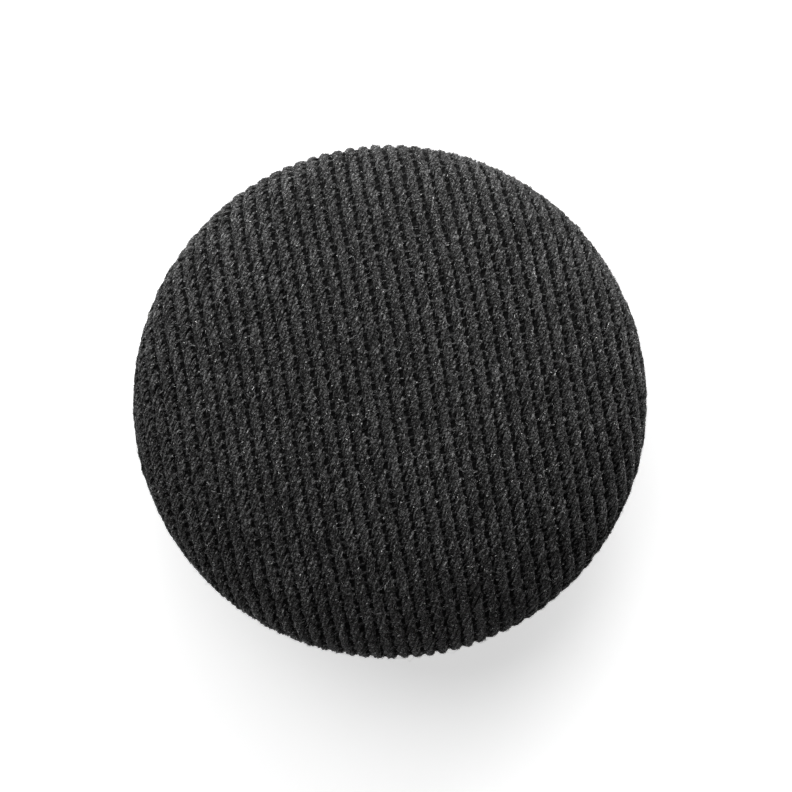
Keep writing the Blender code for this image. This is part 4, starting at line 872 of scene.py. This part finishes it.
def make_reset():
    """Push button with a dished face, its flange and the nib that meets the switch."""
    face, (low, high) = RESET_FACE_Z, RESET_FLANGE
    dish = [(DISH_RADIUS * (1.0 - step / DISH_STEPS),
             face + DISH_DEPTH * math.sin(math.pi / 2.0 * step / DISH_STEPS))
            for step in range(DISH_STEPS + 1)]
    nib, flange, radius = RESET_NIB_RADIUS, RESET_FLANGE_RADIUS, RESET_RADIUS
    profile = [(0.0, RESET_NIB_TOP_Z), (nib - 0.2 * MM, RESET_NIB_TOP_Z),
               (nib, RESET_NIB_TOP_Z - 0.2 * MM), (nib, high), (flange - 0.1 * MM, high),
               (flange, high - 0.1 * MM), (flange, low), (radius, low),
               (radius, face + 0.35 * MM), (radius - 0.1 * MM, face + 0.1 * MM),
               (radius - 0.35 * MM, face)]
    cap = turned_solid("reset_cap", profile + dish, 96, (0.0, RESET_Y))
    finish_solid(cap, button_plastic, "reset_button", "reset_button", 35.0)


SLEEVE_WALL = 0.3 * MM
CONTACT_COUNT = 12
CONTACT_PITCH = 0.5 * MM
CONTACT_SIZE = (0.26 * MM, 2.9 * MM, 0.05 * MM)
CONTACT_SETBACK = 1.9 * MM


def make_receptacle():
    """USB-C sleeve with a rolled mouth, and the contact tongue with its contacts."""
    low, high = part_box("usb_c_shell")
    width, height = high[0] - low[0], high[2] - low[2]
    upright = facing_y(CONTROL_Z)
    sleeve = prism("receptacle_sleeve", rectangle(width, height, height * 0.499, 14), low[1],
                   high[1], 0.12 * MM, upright)
    wall = SLEEVE_WALL
    mouth = prism("mouth", rectangle(width - 2.0 * wall, height - 2.0 * wall,
                                     height * 0.499 - wall, 14), low[1] + MM, high[1] + MM,
                  0.0, upright)
    boolean(sleeve, mouth, "DIFFERENCE")
    finish_solid(sleeve, plated_steel, HUB, "usb_c_shell")
    tongue_low, tongue_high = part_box("usb_c_tongue")
    tongue = prism("receptacle_tongue", rectangle(tongue_high[0] - tongue_low[0],
                                                  tongue_high[2] - tongue_low[2], 0.12 * MM, 4),
                   tongue_low[1], tongue_high[1], 0.10 * MM, upright)
    finish_solid(tongue, chip_resin, HUB, "usb_c_tongue")
    strips = bmesh.new()
    for side in (-1.0, 1.0):
        for number in range(CONTACT_COUNT):
            middle = ((number - (CONTACT_COUNT - 1) / 2.0) * CONTACT_PITCH,
                      tongue_high[1] - CONTACT_SETBACK,
                      CONTROL_Z + side * (tongue_high[2] - tongue_low[2]) / 2.0)
            made = bmesh.ops.create_cube(strips, size=1.0)
            bmesh.ops.scale(strips, vec=CONTACT_SIZE, verts=made["verts"])
            bmesh.ops.translate(strips, vec=middle, verts=made["verts"])
    bmesh.ops.bevel(strips, geom=strips.edges[:], offset=0.012 * MM, segments=1, affect="EDGES")
    mesh = bpy.data.meshes.new("receptacle_contacts")
    strips.to_mesh(mesh)
    strips.free()
    contacts = add_object("receptacle_contacts", mesh)
    finish_solid(contacts, contact_gold, HUB)


make_base()
make_foot()
make_slider()
make_reset()
make_receptacle()


# ---------------- carried-over CAD nodes

# Record slot: colours low and high, grain per metre, roughness pair, bump depth in mm, and more.
NODE_FINISHES = {
    "shell_plastic": (0.014, 0.026, 3600.0, (0.42, 0.56), 0.010, {}),
    "hem_plastic": (0.030, 0.050, 3600.0, (0.45, 0.58), 0.008, {}),
    "aluminium": ((0.60, 0.61, 0.63), (0.74, 0.75, 0.77), 700.0, (0.26, 0.40), 0.003,
                  {"metallic": 1.0, "stretch": (14.0, 1.0, 1.0)}),
    "shield_steel": ((0.50, 0.50, 0.48), (0.68, 0.68, 0.66), 800.0, (0.25, 0.38), 0.003,
                     {"metallic": 1.0, "stretch": (1.0, 10.0, 1.0)}),
    "ferrite": ((0.035, 0.034, 0.033), (0.080, 0.077, 0.074), 2600.0, (0.55, 0.75), 0.02, {}),
    "basket_steel": (0.030, 0.052, 5200.0, (0.40, 0.52), 0.02, {}),
    "cone_paper": ((0.040, 0.038, 0.035), (0.105, 0.100, 0.092), 2400.0, (0.80, 0.95), 0.03,
                   {"detail": 8.0}),
    "surround_rubber": (0.014, 0.026, 1800.0, (0.45, 0.60), 0.006, {}),
    "chip_plastic": (0.012, 0.026, 6000.0, (0.45, 0.60), 0.004, {}),
    "board_black": (0.008, 0.018, 2600.0, (0.30, 0.42), 0.004, {}),
    "led_white": ((0.72, 0.72, 0.66), (0.88, 0.88, 0.83), 2500.0, (0.20, 0.32), 0.002, {}),
    "guide_acrylic": ((0.74, 0.75, 0.76), (0.86, 0.87, 0.88), 3200.0, (0.40, 0.55), 0.006, {}),
    "thermal_silicone": ((0.34, 0.39, 0.44), (0.46, 0.51, 0.56), 1700.0, (0.60, 0.78), 0.01, {}),
    "foam_grey": (0.050, 0.130, 3800.0, (0.85, 0.97), 0.06, {}),
    "ribbon_film": ((0.34, 0.19, 0.06), (0.52, 0.32, 0.12), 500.0, (0.28, 0.40), 0.002,
                    {"stretch": (1.0, 12.0, 12.0)}),
    "lead_red": ((0.40, 0.020, 0.016), (0.55, 0.035, 0.028), 1800.0, (0.40, 0.52), 0.004, {}),
    "lead_black": (0.014, 0.028, 1800.0, (0.40, 0.52), 0.004, {}),
}


# A wave texture of scale 1 repeats every pi / 10 units.
BAND_SCALE = math.pi / 10.0


def banded(name, low, high, pitch, direction, rough, depth, metallic=0.0):
    """Fine regular bands, such as wound wire or a weave's ribs, with noise in their colour."""
    material, tree, shader, place = new_material(name)
    noise = noise_level(tree, place, 1500.0, 4.0, 0.6)
    heights = []
    for axis in direction:
        wave = add_node(tree, "ShaderNodeTexWave", Scale=BAND_SCALE / pitch, Distortion=0.6,
                        wave_type="BANDS", bands_direction=axis)
        tree.links.new(place, wave.inputs["Vector"])
        heights.append(wave.outputs["Fac"])
    height = heights[0]
    if len(heights) > 1:
        most = add_node(tree, "ShaderNodeMath", operation="MAXIMUM")
        tree.links.new(heights[0], most.inputs[0])
        tree.links.new(heights[1], most.inputs[1])
        height = most.outputs["Value"]
    level = scaled(tree, scaled(tree, noise, 0.5, height), 0.6)
    tree.links.new(ramp(tree, level, [(0.15, low), (0.85, high)]), shader.inputs["Base Color"])
    gloss = ramp(tree, noise, [(0.3, rough[0]), (0.7, rough[1])])
    tree.links.new(gloss, shader.inputs["Roughness"])
    add_relief(tree, shader, height, depth)
    shader.inputs["Metallic"].default_value = metallic
    return material


def board_mask(name, mask, trace, copper_pitch):
    """Solder mask over laminate with faint copper tracks and plated pads."""
    material, tree, shader, place = new_material(name)
    tracks = add_node(tree, "ShaderNodeTexBrick", Scale=1.0 / copper_pitch)
    tracks.offset = 0.37
    tracks.inputs["Mortar Size"].default_value = 0.045
    tracks.inputs["Brick Width"].default_value = 2.6
    tracks.inputs["Row Height"].default_value = 0.5
    tree.links.new(place, tracks.inputs["Vector"])
    pads = add_node(tree, "ShaderNodeTexVoronoi", Scale=520.0)
    tree.links.new(place, pads.inputs["Vector"])
    noise = noise_level(tree, place, 900.0, 5.0, 0.6)
    cloth = ramp(tree, noise, [(0.3, tuple(0.8 * part for part in mask)),
                               (0.7, tuple(1.2 * part for part in mask))])
    tracked = add_node(tree, "ShaderNodeMix", data_type="RGBA")
    tree.links.new(tracks.outputs["Fac"], tracked.inputs["Factor"])
    tree.links.new(cloth, tracked.inputs["A"])
    tracked.inputs["B"].default_value = (*trace, 1.0)
    spots = ramp(tree, pads.outputs["Distance"], [(0.12, 1.0), (0.16, 0.0)])
    padded = add_node(tree, "ShaderNodeMix", data_type="RGBA")
    tree.links.new(spots, padded.inputs["Factor"])
    tree.links.new(tracked.outputs["Result"], padded.inputs["A"])
    padded.inputs["B"].default_value = (0.56, 0.52, 0.42, 1.0)
    tree.links.new(padded.outputs["Result"], shader.inputs["Base Color"])
    tree.links.new(ramp(tree, noise, [(0.3, 0.28), (0.7, 0.40)]), shader.inputs["Roughness"])
    add_relief(tree, shader, tracks.outputs["Fac"], 0.02 * MM)
    return material


finishes = {slot: grained(f"node_{slot}", low, high, grain, rough, depth * MM, **more)
            for slot, (low, high, grain, rough, depth, more) in NODE_FINISHES.items()}
finishes.update(plated_steel=plated_steel, base_plastic=base_plastic, silicone=foot_silicone,
                mute_plastic=slider_plastic, button_plastic=button_plastic, knit=ground_cloth_and_hole_shade)
finishes["copper_winding"] = banded("node_copper_winding", (0.36, 0.13, 0.05), (0.78, 0.38, 0.20),
                                    0.16 * MM, ("Z",), (0.24, 0.36), 0.03 * MM, 1.0)
finishes["spider_cloth"] = banded("node_spider_cloth", (0.30, 0.18, 0.06), (0.62, 0.44, 0.20),
                                  0.35 * MM, ("X", "Y"), (0.75, 0.90), 0.05 * MM)
finishes["board_green"] = board_mask("node_board_green", (0.012, 0.085, 0.036),
                                     (0.030, 0.160, 0.075), 2.0 * MM)
for node_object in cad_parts.values():
    for node_slot in node_object.material_slots:
        node_slot.material = finishes[node_slot.material.name.split(".")[0]]


# ---------------- speaker suspension

SURROUND_RADII = (15.4 * MM, 18.8 * MM)
SURROUND_RISE = 1.55 * MM
SPIDER_WAVE = 0.25 * MM
SURROUND_FOOT = 1.2 * MM
SURROUND_SHEET = 0.35 * MM
SPIDER_FOOT = 0.8 * MM
SPIDER_INNER_RADIUS = 5.8 * MM
SPIDER_LIFT = 1.6 * MM
SPIDER_SHEET = 0.3 * MM
SUSPENSION_STEPS = 32


def make_suspension(name, node, path, thickness, slot):
    """Turned sheet that stretches from the basket, at its outer edge, to the cone.
    """
    section = path + [(r, z + thickness) for r, z in path[::-1]]
    obj = turned_solid(name, section, 128)
    finish_solid(obj, finishes[slot], None, node, 40.0)
    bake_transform(obj)


def make_surround():
    """Half roll of rubber from the basket to the rim of the cone."""
    low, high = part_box("speaker_surround")
    cone_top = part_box("speaker_cone")[1][2]
    lift = cone_top + GAP - low[2]
    inner, outer = SURROUND_RADII
    path = [(high[0], low[2])]
    for step in range(SUSPENSION_STEPS + 1):
        share = step / SUSPENSION_STEPS
        path.append(((inner + outer) / 2.0 + (outer - inner) / 2.0 * math.cos(math.pi * share),
                     low[2] + SURROUND_RISE * math.sin(math.pi * share) + lift * share))
    path.append((inner - SURROUND_FOOT, low[2] + lift))
    make_suspension("surround_roll", "speaker_surround", path, SURROUND_SHEET,
                    "surround_rubber")


def make_spider():
    """Corrugated cloth disc from the basket to the voice coil."""
    low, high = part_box("speaker_spider")
    inner, outer, lift = SPIDER_INNER_RADIUS, high[0] - SPIDER_FOOT, SPIDER_LIFT
    path = [(high[0], low[2])]
    for step in range(SUSPENSION_STEPS + 1):
        share = step / SUSPENSION_STEPS
        path.append((outer + (inner - outer) * share,
                     low[2] + lift * share + SPIDER_WAVE * math.sin(4.0 * math.pi * share)))
    make_suspension("spider_rings", "speaker_spider", path, SPIDER_SHEET,
                    "spider_cloth")


make_surround()
make_spider()

# ---------------- stage

FLOOR_GLOW = 0.63
BACKDROP_GLOW = 1.0
SKY = 0.02
# Soft lights: way on the ground, degrees from straight up, degrees wide, strength.
LIGHTS = {"key": ((-0.42, 0.906), 50.0, 74.0, 2.6), "kicker": ((0.25, 0.97), 76.0, 40.0, 2.7)}

# Pale floor, and a backdrop that curves up from it far away, which lights nothing.
FLOOR_RADIUS = 4.5
SWEEP_FLAT, SWEEP_BEND, SWEEP_TOP = 3.4, 0.5, 0.75
floor = add_object("floor", turned_mesh("floor", [(FLOOR_RADIUS, 0.0), (0.0, 0.0)], 96, closed=False))
sweep = [(SWEEP_FLAT + SWEEP_BEND, SWEEP_TOP)]
sweep += [(SWEEP_FLAT + SWEEP_BEND * math.cos(turn), SWEEP_BEND * (1.0 - math.sin(turn)))
          for turn in (math.pi / 2.0 * step / 16 for step in range(17))]
backdrop = add_object("backdrop", turned_mesh("backdrop", sweep, 96, closed=False))
backdrop.visible_diffuse = False
backdrop.visible_glossy = False
backdrop.visible_transmission = False
backdrop.visible_shadow = False
for stage_piece, strength in ((floor, FLOOR_GLOW), (backdrop, BACKDROP_GLOW)):
    paint = grained(f"{stage_piece.name}_white", 0.80, 0.82, 60.0, (0.6, 0.7), 0.0)
    glow = paint.node_tree.nodes["Principled BSDF"]
    glow.inputs["Emission Color"].default_value = (1.0, 1.0, 1.0, 1.0)
    glow.inputs["Emission Strength"].default_value = strength
    stage_piece.data.materials.append(paint)

world = bpy.data.worlds.new("studio")
bpy.context.scene.world = world
world.use_nodes = True
world.node_tree.nodes["Background"].inputs["Color"].default_value = (1.0, 1.0, 1.0, 1.0)
world.node_tree.nodes["Background"].inputs["Strength"].default_value = SKY

for light_name, (way, zenith, width, strength) in LIGHTS.items():
    light = bpy.data.lights.new(light_name, "SUN")
    light.angle = math.radians(width)
    light.energy = strength
    light_object = add_object(light_name, light)
    light_way = Vector((*way, 0.0)).normalized() * math.sin(math.radians(zenith))
    light_way.z = math.cos(math.radians(zenith))
    light_object.location = light_way
    light_object.rotation_euler = light_way.to_track_quat("Z", "Y").to_euler()

# Camera straight above, framing 151.2 mm at the height of the equator.
CAMERA_HEIGHT = 0.80
FRAME_WIDTH = 151.2 * MM
camera = bpy.data.cameras.new("camera")
camera.sensor_width = 36.0
camera.lens = camera.sensor_width * CAMERA_HEIGHT / FRAME_WIDTH
camera.clip_start = 0.01
camera_object = add_object("camera", camera)
camera_object.location = (1.16 * MM, 1.09 * MM, EQUATOR_Z + CAMERA_HEIGHT)
bpy.context.scene.camera = camera_object
bpy.context.scene.view_settings.view_transform = "Standard"
